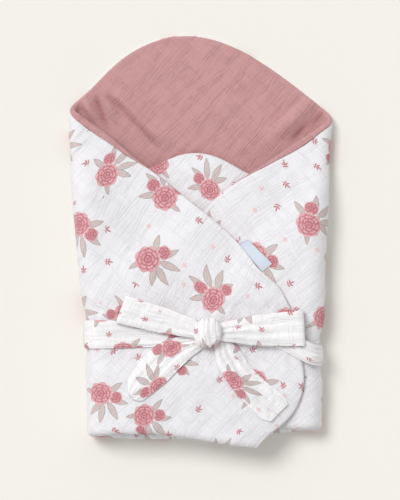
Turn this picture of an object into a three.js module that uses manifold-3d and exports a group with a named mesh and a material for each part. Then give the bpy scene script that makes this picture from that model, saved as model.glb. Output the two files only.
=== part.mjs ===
// A padded muslin baby wrap: one rounded square, folded over a pocket and tied round the waist.
// Units are millimetres. The wrap lies on its back, its head end towards +Y, with +Z up.
import * as THREE from "three";
import { mergeVertices } from "three/addons/utils/BufferGeometryUtils.js";
import Module from "manifold-3d";

// The flat sheet: a square with round corners and slightly bowed sides, standing on one corner
// and leaning a little. Its outline is a superellipse of this power.
const SHEET = { side: 756, power: 4.8, centreX: 0, centreY: -186.5, leanDeg: 3 };
const SHEET_REACH = (SHEET.side / Math.SQRT2) * 2 ** (-1 / SHEET.power);

// Layers of the padded cloth: the printed outside carries the padding, the lining lies inside it.
const CLOTH = { outer: 4.6, gap: 0.3, lining: 1.3 };
const THICK = CLOTH.outer + CLOTH.gap + CLOTH.lining;

// The stack of folded layers: the height of one layer, the room in the pocket, the swelling along
// the side folds, and how far a layer's step fades out beside its edge.
const STACK = { pitch: 9.8, pocket: 9, foot: 4.4, footReach: 80, fade: 74, clear: 4 };
const PUFF = { height: 6, width: 42, calm: 0.8, calmFrom: 60, calmTo: 170 };

// The bottom corner folds up first, over a line that rises at both sides and droops far to the left.
const FOOT = { y: -256, slope: 0.03, level: 140, rise: 7.5, droop: 0.0008, radius: 5.6, drift: 0.0375 };

// The outside line of each side fold, as x at a height y, from the head end to the foot.
const LEFT_SIDE = [
  { y: 176, x: -175 },
  { y: 22, x: -165.5 },
  { y: -78, x: -154.5 },
  { y: -186, x: -148.5 },
  { y: -262, x: -147 },
];
const RIGHT_SIDE = [
  { y: 172, x: 174 },
  { y: 0, x: 168.5 },
  { y: -105, x: 163.5 },
  { y: -186, x: 162 },
  { y: -262, x: 160 },
];
const LEFT_LEAN_DEG = 3.8;
const RIGHT_LEAN_DEG = 1.9;

// A doubled layer turns inside the fold: its radius, how far in, and the length over which its
// spare cloth gathers.
const INNER = { radius: 6.2, inset: 9.8, gather: 170 };

// Where hands pulled the folded edges: around u, v of the flat sheet they moved by dx, dy.
const PULLS = [
  { u: -285, v: 88, reach: 125, dx: 0, dy: 21 },
  { u: -365, v: -34, reach: 88, dx: 15, dy: 13 },
  { u: -300, v: 46, reach: 50, dx: 3, dy: 4 },
  { u: -442, v: -320, reach: 64, dx: -26, dy: 9 },
  { u: -447, v: -283, reach: 50, dx: 10, dy: -9 },
  { u: 275, v: 90, reach: 115, dx: 0, dy: 14 },
  { u: 330, v: 25, reach: 82, dx: -13, dy: 14.5 },
  { u: 150, v: 200, reach: 80, dx: 0, dy: 2 },
  { u: -155, v: 203, reach: 50, dx: 4.5, dy: -5 },
  { u: 105, v: -618, reach: 60, dx: -6, dy: -15 },
  { u: -45, v: -636, reach: 45, dx: 3, dy: -6 },
];

// Nominal radii with which a lower layer's edge is found from above.
const NOMINAL = { right: 17, left: 20 };

// The tie round the waist: a flat tube of the printed cloth. Its band lies level, and near the right
// side it drops and is a little narrower.
const TIE = { y: -124, half: 19, thick: 2.4, under: 2.9, gap: 1.0, lift: 1.5, drape: 24 };
const DROP = { from: 96, to: 160, fall: 28, slim: 5 };

// What the tie does to the wrap: it draws in the sides and presses down the layers and the pocket.
const PINCH = { sides: 4.5, step: 0.6, pocket: 0.34, puff: 0.6, reach: 32, flush: 5, fade: 19 };
const KNOT = { x: 10, y: -121, long: 19.5, wide: 20, high: 12, rise: 12.6 };

// The two loops of the bow: from the knot to the far end, with the half width along the way.
const LOOPS = [
  { x: -103.5, y: -90.5, rise: 3.6, acrossX: 0.37, acrossY: 0.93, start: 13, middle: 17, end: 19 },
  { x: 138.7, y: -115.2, rise: 3.6, acrossX: -0.05, acrossY: 1, start: 14, middle: 21, end: 23.8 },
];
const LOOP_TURN = 2.4;

// The free ends: the middle of the ribbon, and from there to its edge.
const LEFT_TAIL = [
  { x: 4, y: -127, edgeX: -6, edgeY: 8, rise: 5 },
  { x: -4.7, y: -134.7, edgeX: -8, edgeY: 9.4, rise: 4.5 },
  { x: -24.8, y: -141.4, edgeX: -14.7, edgeY: 12, rise: 3.4 },
  { x: -41.1, y: -153.4, edgeX: -11.8, edgeY: 18.5, rise: 2.6 },
  { x: -59.6, y: -170.6, edgeX: -13.4, edgeY: 18.5, rise: 2.6 },
  { x: -74.6, y: -185.6, edgeX: -11.8, edgeY: 16.8, rise: 2.6 },
  { x: -85.4, y: -197.4, edgeX: -9.1, edgeY: 15.1, rise: 2.6 },
  { x: -91.8, y: -206.4, edgeX: -5.4, edgeY: 7.4, rise: 2.6 },
];
const RIGHT_TAIL = [
  { x: 18, y: -124, edgeX: 9, edgeY: 7, rise: 5 },
  { x: 30.8, y: -134, edgeX: 11.4, edgeY: 6, rise: 4.5 },
  { x: 38.2, y: -152.1, edgeX: 16.1, edgeY: 6.7, rise: 3.4 },
  { x: 49.6, y: -172.9, edgeX: 18.1, edgeY: 6, rise: 2.6 },
  { x: 65.7, y: -192.3, edgeX: 18.1, edgeY: 9.4, rise: 2.6 },
  { x: 84.4, y: -209.7, edgeX: 16.8, edgeY: 12.1, rise: 2.6 },
  { x: 96.5, y: -220.4, edgeX: 15.4, edgeY: 14.7, rise: 2.6 },
  { x: 105.9, y: -227.8, edgeX: 14.1, edgeY: 14.1, rise: 2.6 },
];

// The grid on which the sheet is meshed: its cell, the first steps in from a tip, the steps over a
// side fold, how far the columns go beyond it, and the rows round the waist.
const GRID = { cell: 27, tips: [0.5, 9, 23.4], far: 350, slack: 0.35, bend: 70 };
const FOLD_STEPS = [0, 4.2, 9, 15, 22.2, 31.2, 40.8, 51.6, 63.6, 76.8];
const FOOT_STEPS = [-0.4, 0, 0.25, 0.5, 0.75, 1, 1.4];
const WAIST_STEPS = [44, 22.5, 10, 0, -11, -22.5, -33, -44];

// Moves the whole wrap so that the middle of its box stands over the origin.
const PLACE = { x: -0.8, y: 3.3 };

const PRINT_CLOTH = { color: 0xf2f1f4, roughness: 0.92, metalness: 0 };
const LINING_CLOTH = { color: 0xcd9b9b, roughness: 0.93, metalness: 0 };

const clamp = (value, low, high) => Math.min(high, Math.max(low, value));
const mix = (a, b, t) => a + (b - a) * t;

function smooth(low, high, value) {
  const t = clamp((value - low) / (high - low), 0, 1);
  return t * t * (3 - 2 * t);
}

function bell(distance, width) {
  return Math.exp(-((distance / width) ** 2));
}

// Reads a table of y and x with its rows from high y to low, softly between them.
function sideLine(table, y) {
  if (y >= table[0].y) return table[0].x;
  const last = table[table.length - 1];
  if (y <= last.y) return last.x;
  const row = table.findIndex((entry) => entry.y <= y);
  const upper = table[row - 1];
  const lower = table[row];
  return mix(upper.x, lower.x, (upper.y - y) / (upper.y - lower.y));
}

// The band's middle and half width for each x, and how far a point lies outside it.
const bandY = (x) => TIE.y - DROP.fall * smooth(DROP.from, DROP.to, x);
const bandHalf = (x) => TIE.half - DROP.slim * smooth(DROP.from, DROP.to, x);
const bandAway = (x, y) => Math.abs(y - bandY(x)) - bandHalf(x);

const waist = (x, y) => 1 - smooth(0, PINCH.reach, bandAway(x, y));
const leftSide = (y) => sideLine(LEFT_SIDE, y) + PINCH.sides * waist(-DROP.to, y);
const rightSide = (y) => sideLine(RIGHT_SIDE, y) - PINCH.sides * waist(DROP.to, y);

// Where the bottom corner turns up, for each x of the flat sheet.
function footLine(x) {
  const level = clamp(x, -FOOT.level, FOOT.level);
  const droop = Math.max(0, -FOOT.level - x);
  return FOOT.y + FOOT.slope * level + FOOT.rise * (level / FOOT.level) ** 2 - FOOT.droop * droop * droop;
}

// Distance from the flat sheet's edge, negative inside it.
function edgeDistance(x, y) {
  const turn = THREE.MathUtils.degToRad(45 - SHEET.leanDeg);
  const dx = x - SHEET.centreX;
  const dy = y - SHEET.centreY;
  const a = Math.abs(dx * Math.cos(turn) - dy * Math.sin(turn));
  const b = Math.abs(dx * Math.sin(turn) + dy * Math.cos(turn));
  const sum = a ** SHEET.power + b ** SHEET.power + 1;
  const steep = Math.hypot(a ** (SHEET.power - 1), b ** (SHEET.power - 1)) / sum ** (1 - 1 / SHEET.power);
  return (sum ** (1 / SHEET.power) - SHEET.side / 2) / Math.max(steep, 0.5);
}

const normalOf = (leanDeg, side) => {
  const lean = THREE.MathUtils.degToRad(leanDeg);
  return { x: side * Math.cos(lean), y: -Math.sin(lean) };
};
const LEFT_OUT = normalOf(LEFT_LEAN_DEG, -1);
const RIGHT_OUT = normalOf(RIGHT_LEAN_DEG, 1);

// How far a point lies beyond a side's outside line, negative inside it.
const beyondLeft = (x, y) => (leftSide(y) - x) * -LEFT_OUT.x;
const beyondRight = (x, y) => (x - rightSide(y)) * RIGHT_OUT.x;

// The place on the flat sheet of a point of a layer, found by folding back.
function unfoldFoot(x, y) {
  const inside = y - footLine(x);
  const back = 2 * inside + Math.PI * FOOT.radius;
  return { x: x + FOOT.drift * back, y: y - back };
}

function unfoldSide(x, y, out, beyond, radius, spare = 0) {
  const inside = -beyond - radius;
  const gathered = spare * smooth(0, INNER.gather - spare, inside);
  const back = 2 * inside + Math.PI * radius + gathered;
  return { x: x + out.x * back, y: y + out.y * back };
}

// The length by which a doubled layer would reach past the outer one, if it didn't gather.
const spareOf = (radius) => 2 * INNER.inset + (Math.PI - 2) * (radius - INNER.radius);

const cover = (spot) => 1 - smooth(STACK.clear, STACK.clear + STACK.fade, edgeDistance(spot.x, spot.y));

// How much of each layer lies at a point of the folded wrap, from 0 to 1.
function covers(x, y) {
  const [beyondR, beyondL] = [beyondRight(x, y), beyondLeft(x, y)];
  const [spareR, spareL] = [spareOf(NOMINAL.right), spareOf(NOMINAL.left)];
  const right = unfoldSide(x, y, RIGHT_OUT, beyondR, NOMINAL.right);
  const left = unfoldSide(x, y, LEFT_OUT, beyondL, NOMINAL.left);
  const innerR = unfoldSide(x, y, RIGHT_OUT, beyondR + INNER.inset, INNER.radius, spareR);
  const innerL = unfoldSide(x, y, LEFT_OUT, beyondL + INNER.inset, INNER.radius, spareL);
  return {
    corner: cover(unfoldFoot(x, y)),
    rightInner: cover(unfoldFoot(innerR.x, innerR.y)),
    rightFlap: cover(right),
    leftInner: cover(unfoldFoot(innerL.x, innerL.y)),
    leftFlap: cover(left),
  };
}

// Heights of the middle of every layer at a point of the folded wrap.
function heights(x, y) {
  const held = waist(x, y);
  const under = TIE.under * (1 - smooth(PINCH.flush, PINCH.fade, bandAway(x, y)));
  const step = STACK.pitch - PINCH.step * held;
  const rightPuff = PUFF.height * bell(beyondRight(x, y), PUFF.width);
  const leftPuff = PUFF.height * bell(beyondLeft(x, y), PUFF.width);
  const room = mix(STACK.foot, STACK.pocket, smooth(FOOT.y, FOOT.y + STACK.footReach, y));
  const calm = 1 - PUFF.calm * smooth(PUFF.calmFrom, PUFF.calmTo, y);
  const swell = smooth(FOOT.y, TIE.y, y) * calm * (1 - PINCH.puff * held);
  const pocket = room * (1 - PINCH.pocket * held) + (rightPuff + leftPuff) * swell;
  const over = covers(x, y);
  const back = THICK / 2 + under;
  const base = back + pocket;
  const corner = base + step;
  const rightInner = base + step * (1 + over.corner);
  const rightFlap = rightInner + step * over.rightInner;
  const leftInner = rightFlap + step * over.rightFlap;
  const leftFlap = leftInner + step * over.leftInner;
  const top = leftFlap + step * (over.leftFlap - 1) + THICK / 2;
  return { back, corner, rightInner, rightFlap, leftInner, leftFlap, top };
}

// Rolls a length over a fold: the sideways move and the share of the turn that is done.
function roll(beyond, radius) {
  if (beyond <= 0) return { move: 0, turned: 0 };
  const angle = Math.min(Math.PI, beyond / radius);
  const move = beyond - radius * Math.sin(angle) + Math.max(0, beyond - Math.PI * radius);
  return { move, turned: (1 - Math.cos(angle)) / 2 };
}

// The middle of the folded sheet at a point of the flat one.
function folded(u, v) {
  const foot = roll(footLine(u) - v, FOOT.radius);
  let x = u - FOOT.drift * foot.move;
  let y = v + foot.move;
  const inner = foot.turned;

  const sides = [
    { out: RIGHT_OUT, line: rightSide, beyond: beyondRight, flap: "rightFlap", doubled: "rightInner" },
    { out: LEFT_OUT, line: leftSide, beyond: beyondLeft, flap: "leftFlap", doubled: "leftInner" },
  ];
  const turns = [];
  for (const side of sides) {
    const edge = heights(side.line(y), y);
    const outerRadius = (edge[side.flap] - edge.back) / 2;
    const innerRadius = Math.max(INNER.radius, (edge[side.doubled] - edge.corner) / 2);
    const radius = mix(outerRadius, innerRadius, inner);
    const beyond = side.beyond(x, y) + radius + INNER.inset * inner;
    const turn = roll(beyond, radius);
    const spare = 2 * INNER.inset + (Math.PI - 2) * (outerRadius - innerRadius);
    const move = turn.move - inner * spare * smooth(0, INNER.gather, beyond - Math.PI * radius);
    x -= side.out.x * move;
    y -= side.out.y * move;
    turns.push(turn.turned);
  }

  for (const pull of PULLS) {
    const share = bell(Math.hypot(u - pull.u, v - pull.v), pull.reach);
    x += pull.dx * share;
    y += pull.dy * share;
  }

  const level = heights(x, y);
  const flat = mix(level.back, level.corner, inner);
  const right = mix(level.rightFlap, level.rightInner, inner);
  const left = mix(level.leftFlap, level.leftInner, inner);
  return new THREE.Vector3(x, y, mix(mix(flat, right, turns[0]), left, turns[1]));
}

// The direction in which the lining faces at a point of the flat sheet.
function facing(u, v) {
  const step = 0.5;
  const alongX = folded(u + step, v).sub(folded(u - step, v));
  const alongY = folded(u, v + step).sub(folded(u, v - step));
  return alongX.cross(alongY).normalize();
}

// Rows of the grid, from the head end to the tip of the bottom corner.
function gridRows() {
  const head = SHEET.centreY + SHEET_REACH;
  const tip = SHEET.centreY - SHEET_REACH;
  const arc = Math.PI * FOOT.radius;
  const rows = GRID.tips.map((drop) => head - drop);
  const stretch = (to) => {
    const from = rows[rows.length - 1];
    const count = Math.round((from - to) / GRID.cell);
    for (let i = 1; i < count; i += 1) rows.push(mix(from, to, i / count));
  };
  const waistRows = WAIST_STEPS.map((rise) => TIE.y + rise);
  const footRows = FOOT_STEPS.map((part) => FOOT.y - part * arc);
  const tipRows = GRID.tips.map((rise) => tip + rise).reverse();
  for (const group of [waistRows, footRows, tipRows]) {
    stretch(group[0]);
    rows.push(...group);
  }
  return rows;
}

// Columns as steps out from the left fold, between the folds, and out from the right fold.
function gridColumns() {
  const steps = [...FOLD_STEPS];
  const lastStep = steps[steps.length - 1];
  for (let far = lastStep + GRID.cell; far < GRID.far; far += GRID.cell) steps.push(far);
  const inner = Math.round((rightSide(0) - leftSide(0) - NOMINAL.left - NOMINAL.right) / GRID.cell);
  const middle = Array.from({ length: inner - 1 }, (_, i) => ({ side: "middle", step: (i + 1) / inner }));
  const left = steps.map((step) => ({ side: "left", step })).reverse();
  const right = steps.map((step) => ({ side: "right", step }));
  return [...left, ...middle, ...right];
}

function columnX(column, y) {
  const left = leftSide(y) + NOMINAL.left;
  const right = rightSide(y) - NOMINAL.right;
  if (column.side === "left") return left - column.step;
  if (column.side === "right") return right + column.step;
  return mix(left, right, column.step);
}

// A row's height at each x: rows near the bottom fold droop with it.
function rowY(row, x) {
  const near = bell(row - FOOT.y, GRID.bend);
  return row + (footLine(x) - FOOT.y) * near;
}

// The x at which a row meets the sheet's edge, on the side given by its sign.
function rowEnd(row, sign) {
  const halvings = 40;
  let inside = SHEET.centreX - (row - SHEET.centreY) * Math.tan(THREE.MathUtils.degToRad(SHEET.leanDeg));
  let outside = sign * SHEET.side;
  for (let i = 0; i < halvings; i += 1) {
    const half = (inside + outside) / 2;
    if (edgeDistance(half, rowY(row, half)) < 0) inside = half;
    else outside = half;
  }
  return inside;
}

// The flat mesh of the sheet: its points, its triangles and its rim in order.
function flatMesh() {
  const rows = gridRows();
  const columns = gridColumns();
  const points = [];
  const index = rows.map((row) => {
    const start = rowEnd(row, -1);
    const end = rowEnd(row, 1);
    const line = columns.map((column) => columnX(column, row));
    const width = (j) => (line[Math.min(j + 1, line.length - 1)] - line[Math.max(j - 1, 0)]) / 2;
    const slack = (j) => GRID.slack * width(j);
    let first = 0;
    while (first < line.length - 1 && line[first + 1] < start + slack(first + 1)) first += 1;
    let last = line.length - 1;
    while (last > first + 1 && line[last - 1] > end - slack(last - 1)) last -= 1;
    const place = new Map();
    for (let j = first; j <= last; j += 1) {
      const x = j === first ? start : j === last ? end : line[j];
      place.set(j, points.length);
      points.push({ x, y: rowY(row, x) });
    }
    return (j) => place.get(clamp(j, first, last));
  });
  const triangles = [];
  const add = (a, b, c) => {
    if (a !== b && b !== c && a !== c) triangles.push([a, b, c]);
  };
  for (let i = 0; i < rows.length - 1; i += 1) {
    for (let j = 0; j < columns.length - 1; j += 1) {
      const [a, b] = [index[i](j), index[i](j + 1)];
      const [c, d] = [index[i + 1](j), index[i + 1](j + 1)];
      if ((i + j) % 2 === 0) {
        add(a, c, b);
        add(b, c, d);
      } else {
        add(a, c, d);
        add(a, d, b);
      }
    }
  }
  return { points, triangles };
}

// Edges that only one triangle uses, in the direction in which that triangle runs.
function rimOf(triangles) {
  const edges = new Map();
  for (const [a, b, c] of triangles) {
    for (const [from, to] of [[a, b], [b, c], [c, a]]) {
      if (edges.has(to + "_" + from)) edges.delete(to + "_" + from);
      else edges.set(from + "_" + to, [from, to]);
    }
  }
  return [...edges.values()];
}

// One layer of the folded sheet, between two distances from its middle.
function panelGeometry(mesh, low, high) {
  const spots = mesh.points.map((point) => {
    const middle = folded(point.x, point.y);
    return { middle, normal: facing(point.x, point.y) };
  });
  const positions = [];
  for (const side of [low, high]) {
    for (const { middle, normal } of spots) {
      const place = middle.clone().addScaledVector(normal, side);
      positions.push(place.x, place.y, place.z);
    }
  }
  const count = spots.length;
  const faces = [];
  for (const [a, b, c] of mesh.triangles) {
    faces.push(a + count, b + count, c + count);
    faces.push(a, c, b);
  }
  for (const [from, to] of rimOf(mesh.triangles)) {
    faces.push(from, to, to + count);
    faces.push(from, to + count, from + count);
  }
  const geometry = new THREE.BufferGeometry();
  geometry.setAttribute("position", new THREE.Float32BufferAttribute(positions, 3));
  geometry.setIndex(faces);
  return geometry;
}

// The height on which a ribbon of the tie lies at a point of the folded wrap.
function restHeight(x, y) {
  const level = heights(x, y);
  const left = unfoldSide(x, y, LEFT_OUT, beyondLeft(x, y), NOMINAL.left);
  const onFlap = 1 - smooth(STACK.clear, STACK.clear + TIE.drape, edgeDistance(left.x, left.y));
  return mix(level.rightFlap, level.leftFlap, onFlap) + THICK / 2;
}

// The highest rest under a ribbon, from its middle to both its edges.
function restUnder(x, y, edge) {
  return Math.max(...[-1, -0.5, 0, 0.5, 1].map((part) => restHeight(x + part * edge.x, y + part * edge.y)));
}

// A flat ribbon through stations that give its middle, its half width and its half thickness.
function ribbonGeometry(stations, closed) {
  const positions = [];
  for (const { middle, across, up } of stations) {
    for (const [side, face] of [[-1, -1], [1, -1], [1, 1], [-1, 1]]) {
      const corner = middle.clone().addScaledVector(across, side).addScaledVector(up, face);
      positions.push(corner.x, corner.y, corner.z);
    }
  }
  const faces = [];
  const count = stations.length;
  for (let i = 0; i < (closed ? count : count - 1); i += 1) {
    for (let k = 0; k < 4; k += 1) {
      const [a, b] = [i * 4 + k, i * 4 + ((k + 1) % 4)];
      const [c, d] = [((i + 1) % count) * 4 + k, ((i + 1) % count) * 4 + ((k + 1) % 4)];
      faces.push(a, b, c, b, d, c);
    }
  }
  if (!closed) {
    const last = (count - 1) * 4;
    faces.push(0, 2, 1, 0, 3, 2);
    faces.push(last, last + 1, last + 2, last, last + 2, last + 3);
  }
  const geometry = new THREE.BufferGeometry();
  geometry.setAttribute("position", new THREE.Float32BufferAttribute(positions, 3));
  geometry.setIndex(faces);
  return geometry;
}

// The band: flush under the back, round both side folds and over the front.
function bandStations() {
  const half = TIE.thick / 2;
  const clear = TIE.gap + half;
  const across = (x) => new THREE.Vector3(0, bandHalf(x), 0);
  const sides = [
    { line: rightSide, flap: "rightFlap", sign: 1 },
    { line: leftSide, flap: "leftFlap", sign: -1 },
  ].map((side) => {
    const far = side.sign * DROP.to;
    const level = heights(side.line(bandY(far)), bandY(far));
    const radius = (level[side.flap] - level.back) / 2;
    const edges = [-1, 0, 1].map((part) => side.sign * side.line(bandY(far) + part * bandHalf(far)));
    const centre = side.sign * (Math.max(...edges) - radius);
    const top = restUnder(centre, bandY(centre), across(centre)) + half + TIE.lift;
    const middle = (level[side.flap] + level.back) / 2;
    return { ...side, centre, middle, out: radius + THICK / 2 + clear, top };
  });
  const path = [];
  const [arcSteps, flatSteps] = [9, 12];
  const arc = (side, from, to) => {
    for (let i = 0; i <= arcSteps; i += 1) {
      const angle = mix(from, to, i / arcSteps);
      const high = angle > Math.PI / 2 ? side.top - side.middle : side.middle - half;
      const x = side.centre + side.sign * side.out * Math.sin(angle);
      path.push({ x, z: side.middle - high * Math.cos(angle) });
    }
  };
  arc(sides[0], 0, Math.PI);
  for (let i = 1; i < flatSteps; i += 1) {
    const x = mix(sides[0].centre, sides[1].centre, i / flatSteps);
    path.push({ x, z: restUnder(x, bandY(x), across(x)) + half + TIE.lift });
  }
  arc(sides[1], Math.PI, 0);
  for (let i = 1; i < flatSteps; i += 1) {
    path.push({ x: mix(sides[1].centre, sides[0].centre, i / flatSteps), z: half });
  }
  return path.map((spot, i) => {
    const before = path[(i + path.length - 1) % path.length];
    const after = path[(i + 1) % path.length];
    const along = new THREE.Vector3(after.x - before.x, 0, after.z - before.z).normalize();
    const up = new THREE.Vector3().crossVectors(along, new THREE.Vector3(0, 1, 0)).multiplyScalar(half);
    return { middle: new THREE.Vector3(spot.x, bandY(spot.x), spot.z), across: across(spot.x), up };
  });
}

// A loop of the bow: out from the knot low down, round its end and back on top.
function loopStations(loop) {
  const span = Math.hypot(loop.x - KNOT.x, loop.y - KNOT.y);
  const heading = new THREE.Vector3((loop.x - KNOT.x) / span, (loop.y - KNOT.y) / span, 0);
  const [runs, turns, root] = [8, 5, 6];
  const path = [];
  const along = (i) => mix(root, span - LOOP_TURN, i / (runs - 1));
  for (let i = 0; i < runs; i += 1) path.push({ s: along(i), lift: 0, tilt: 0 });
  for (let i = 1; i < turns; i += 1) {
    const angle = (i / turns) * Math.PI;
    const lift = LOOP_TURN * (1 - Math.cos(angle));
    path.push({ s: span - LOOP_TURN + LOOP_TURN * Math.sin(angle), lift, tilt: angle });
  }
  for (let i = runs - 1; i >= 0; i -= 1) {
    path.push({ s: along(i), lift: 2 * LOOP_TURN, tilt: Math.PI });
  }
  return path.map(({ s, lift, tilt }) => {
    const share = s / span;
    const [from, to] = share < 0.5 ? [loop.start, loop.middle] : [loop.middle, loop.end];
    const width = mix(from, to, (share * 2) % 1);
    const across = new THREE.Vector3(loop.acrossX, loop.acrossY, 0).normalize().multiplyScalar(width);
    const x = mix(KNOT.x, loop.x, share);
    const y = mix(KNOT.y, loop.y, share);
    const z = restUnder(x, y, across) + TIE.thick + loop.rise + lift;
    const up = new THREE.Vector3(0, 0, Math.cos(tilt)).addScaledVector(heading, -Math.sin(tilt));
    return { middle: new THREE.Vector3(x, y, z), across, up: up.multiplyScalar(TIE.thick / 2) };
  });
}

// A free end of the tie, lying on the front of the wrap.
function tailStations(table) {
  return table.map((row) => {
    const across = new THREE.Vector3(row.edgeX, row.edgeY, 0);
    const z = restUnder(row.x, row.y, across) + row.rise;
    return { middle: new THREE.Vector3(row.x, row.y, z), across, up: new THREE.Vector3(0, 0, TIE.thick / 2) };
  });
}

function knotGeometry() {
  const ball = new THREE.SphereGeometry(1, 14, 9);
  ball.scale(KNOT.long, KNOT.wide, KNOT.high);
  const z = restUnder(KNOT.x, KNOT.y, new THREE.Vector3(KNOT.long, 0, 0)) + KNOT.rise;
  return ball.translate(KNOT.x, KNOT.y, z);
}

const library = await Module();
library.setup();

// A closed geometry as a solid that can be joined, with its faces turned outwards.
function solidOf(geometry) {
  geometry.deleteAttribute("normal");
  geometry.deleteAttribute("uv");
  const merged = mergeVertices(geometry, 1e-4);
  const triVerts = new Uint32Array(merged.index.array);
  const build = () => {
    const vertProperties = merged.getAttribute("position").array;
    return new library.Manifold(new library.Mesh({ numProp: 3, vertProperties, triVerts }));
  };
  const solid = build();
  if (solid.volume() > 0) return solid;
  for (let i = 0; i < triVerts.length; i += 3) {
    [triVerts[i + 1], triVerts[i + 2]] = [triVerts[i + 2], triVerts[i + 1]];
  }
  return build();
}

function geometryOf(solid) {
  const { vertProperties, triVerts } = solid.getMesh();
  const geometry = new THREE.BufferGeometry();
  geometry.setAttribute("position", new THREE.Float32BufferAttribute(vertProperties, 3));
  geometry.setIndex(Array.from(triVerts));
  return geometry;
}

function tieGeometry() {
  const ribbons = [
    ribbonGeometry(bandStations(), true),
    ...LOOPS.map((loop) => ribbonGeometry(loopStations(loop), false)),
    ...[LEFT_TAIL, RIGHT_TAIL].map((table) => ribbonGeometry(tailStations(table), false)),
    knotGeometry(),
  ];
  return geometryOf(ribbons.map(solidOf).reduce((whole, ribbon) => whole.add(ribbon)));
}

function meshOf(name, geometry, look) {
  geometry.computeVertexNormals();
  const mesh = new THREE.Mesh(geometry, new THREE.MeshStandardMaterial(look));
  mesh.name = name;
  return mesh;
}

const sheet = flatMesh();
const wrap = new THREE.Group();
wrap.add(meshOf("outer_panel", panelGeometry(sheet, -THICK / 2, -THICK / 2 + CLOTH.outer), PRINT_CLOTH));
wrap.add(meshOf("lining_panel", panelGeometry(sheet, THICK / 2 - CLOTH.lining, THICK / 2), LINING_CLOTH));
wrap.add(meshOf("tie", tieGeometry(), PRINT_CLOTH));
wrap.position.set(PLACE.x, PLACE.y, 0);

export default wrap;
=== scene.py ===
"""Looks of a padded muslin baby wrap: one rounded square, folded over a pocket and tied with a bow.

The folding is worked out in millimetres, as the part's solids are. Meshes, UV maps and the scene
are in metres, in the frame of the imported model: +Y towards the head end, +Z up out of the front.
"""

import logging
import math
from dataclasses import dataclass, field, replace
from enum import Enum
from typing import Callable, Sequence

import bmesh
import bpy
import numpy as np
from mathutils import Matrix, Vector


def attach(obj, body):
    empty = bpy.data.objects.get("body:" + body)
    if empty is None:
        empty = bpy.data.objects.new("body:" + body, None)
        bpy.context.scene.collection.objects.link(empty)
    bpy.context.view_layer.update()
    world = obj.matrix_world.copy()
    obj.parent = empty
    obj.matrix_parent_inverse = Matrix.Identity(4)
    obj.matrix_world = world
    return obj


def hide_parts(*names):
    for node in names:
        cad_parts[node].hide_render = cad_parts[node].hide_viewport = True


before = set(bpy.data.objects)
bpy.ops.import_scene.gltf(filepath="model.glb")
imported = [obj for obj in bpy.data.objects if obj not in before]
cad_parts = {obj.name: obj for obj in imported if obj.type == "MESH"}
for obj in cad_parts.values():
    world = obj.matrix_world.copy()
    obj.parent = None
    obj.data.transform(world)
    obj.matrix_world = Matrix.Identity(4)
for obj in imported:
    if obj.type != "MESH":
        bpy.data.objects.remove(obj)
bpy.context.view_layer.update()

LOG = logging.getLogger("wrap")
Array = np.ndarray

# One millimetre in metres, and the least height of the cloth over the floor in millimetres.
MM = 0.001
FLOOR_GAP = 0.05

# Moves the whole wrap as the solids are moved, so that their box stands over the origin.
PLACE = np.array([-0.8, 3.3, 0.0])

# One pixel of the photograph is this many millimetres; its column and row of the frame's origin.
PIXEL_MM = 1.34
PIXEL_X, PIXEL_Y = 199.5, 241.5


def from_photo(column: float, row: float) -> tuple[float, float]:
    """Return the place in millimetres, before the shift of the wrap, of a spot of the photograph."""
    return (column - PIXEL_X) * PIXEL_MM, (PIXEL_Y - row) * PIXEL_MM


def mix(a: Array, b: Array, t: Array) -> Array:
    """Return a value between a and b, at the share t."""
    return a + (b - a) * t


def smooth(low: float, high: float, value: Array) -> Array:
    """Return 0 below low, 1 above high and a soft step between them."""
    t = np.clip((value - low) / (high - low), 0.0, 1.0)
    return t * t * (3.0 - 2.0 * t)


def bell(distance: Array, width: float) -> Array:
    """Return a bell curve of 1 at no distance."""
    return np.exp(-((distance / width) ** 2))


def unit(vectors: Array) -> Array:
    """Return vectors at length one."""
    return vectors / np.maximum(np.linalg.norm(vectors, axis=-1, keepdims=True), 1e-9)


class Side(Enum):
    """The two side folds of the wrap, seen from above with the head end up."""

    RIGHT = "right"
    LEFT = "left"


@dataclass(frozen=True)
class SideFold:
    """A side fold: its outside line, the way it faces and how tightly a doubled layer turns in it.

    Attributes:
        side: Which side of the wrap it is.
        line_y: Heights of the table of its outside line, from the foot up.
        line_x: The outside line's x at each of those heights.
        lean_deg: How far the fold's outward direction leans to the foot.
        nominal: The radius with which a lower layer's edge is found from above.
    """

    side: Side
    line_y: tuple[float, ...]
    line_x: tuple[float, ...]
    lean_deg: float
    nominal: float

    @property
    def sign(self) -> float:
        """Return +1 for the right side and -1 for the left."""
        return 1.0 if self.side is Side.RIGHT else -1.0

    @property
    def out(self) -> tuple[float, float]:
        """Return the outward direction on the flat sheet."""
        lean = math.radians(self.lean_deg)
        return self.sign * math.cos(lean), -math.sin(lean)


RIGHT_FOLD = SideFold(Side.RIGHT, (-262, -186, -105, 0, 172), (160, 162, 163.5, 168.5, 174), 1.9, 17)
LEFT_FOLD = SideFold(Side.LEFT, (-262, -186, -78, 22, 176), (-147, -148.5, -154.5, -165.5, -175), 3.8, 20)


@dataclass(frozen=True)
class Roll:
    """What rolling a length over a fold gives.

    Attributes:
        move: How far each point moves back, in millimetres.
        turned: Share of the turn that is done, from 0 to 1.
    """

    move: Array
    turned: Array


@dataclass(frozen=True)
class Pull:
    """Where hands pulled a folded edge, in millimetres.

    Attributes:
        u: Place across the flat sheet.
        v: Place along it.
        reach: How far from there the cloth comes along.
        dx: Its move across the folded wrap.
        dy: Its move towards the head end.
    """

    u: float
    v: float
    reach: float
    dx: float
    dy: float


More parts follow.
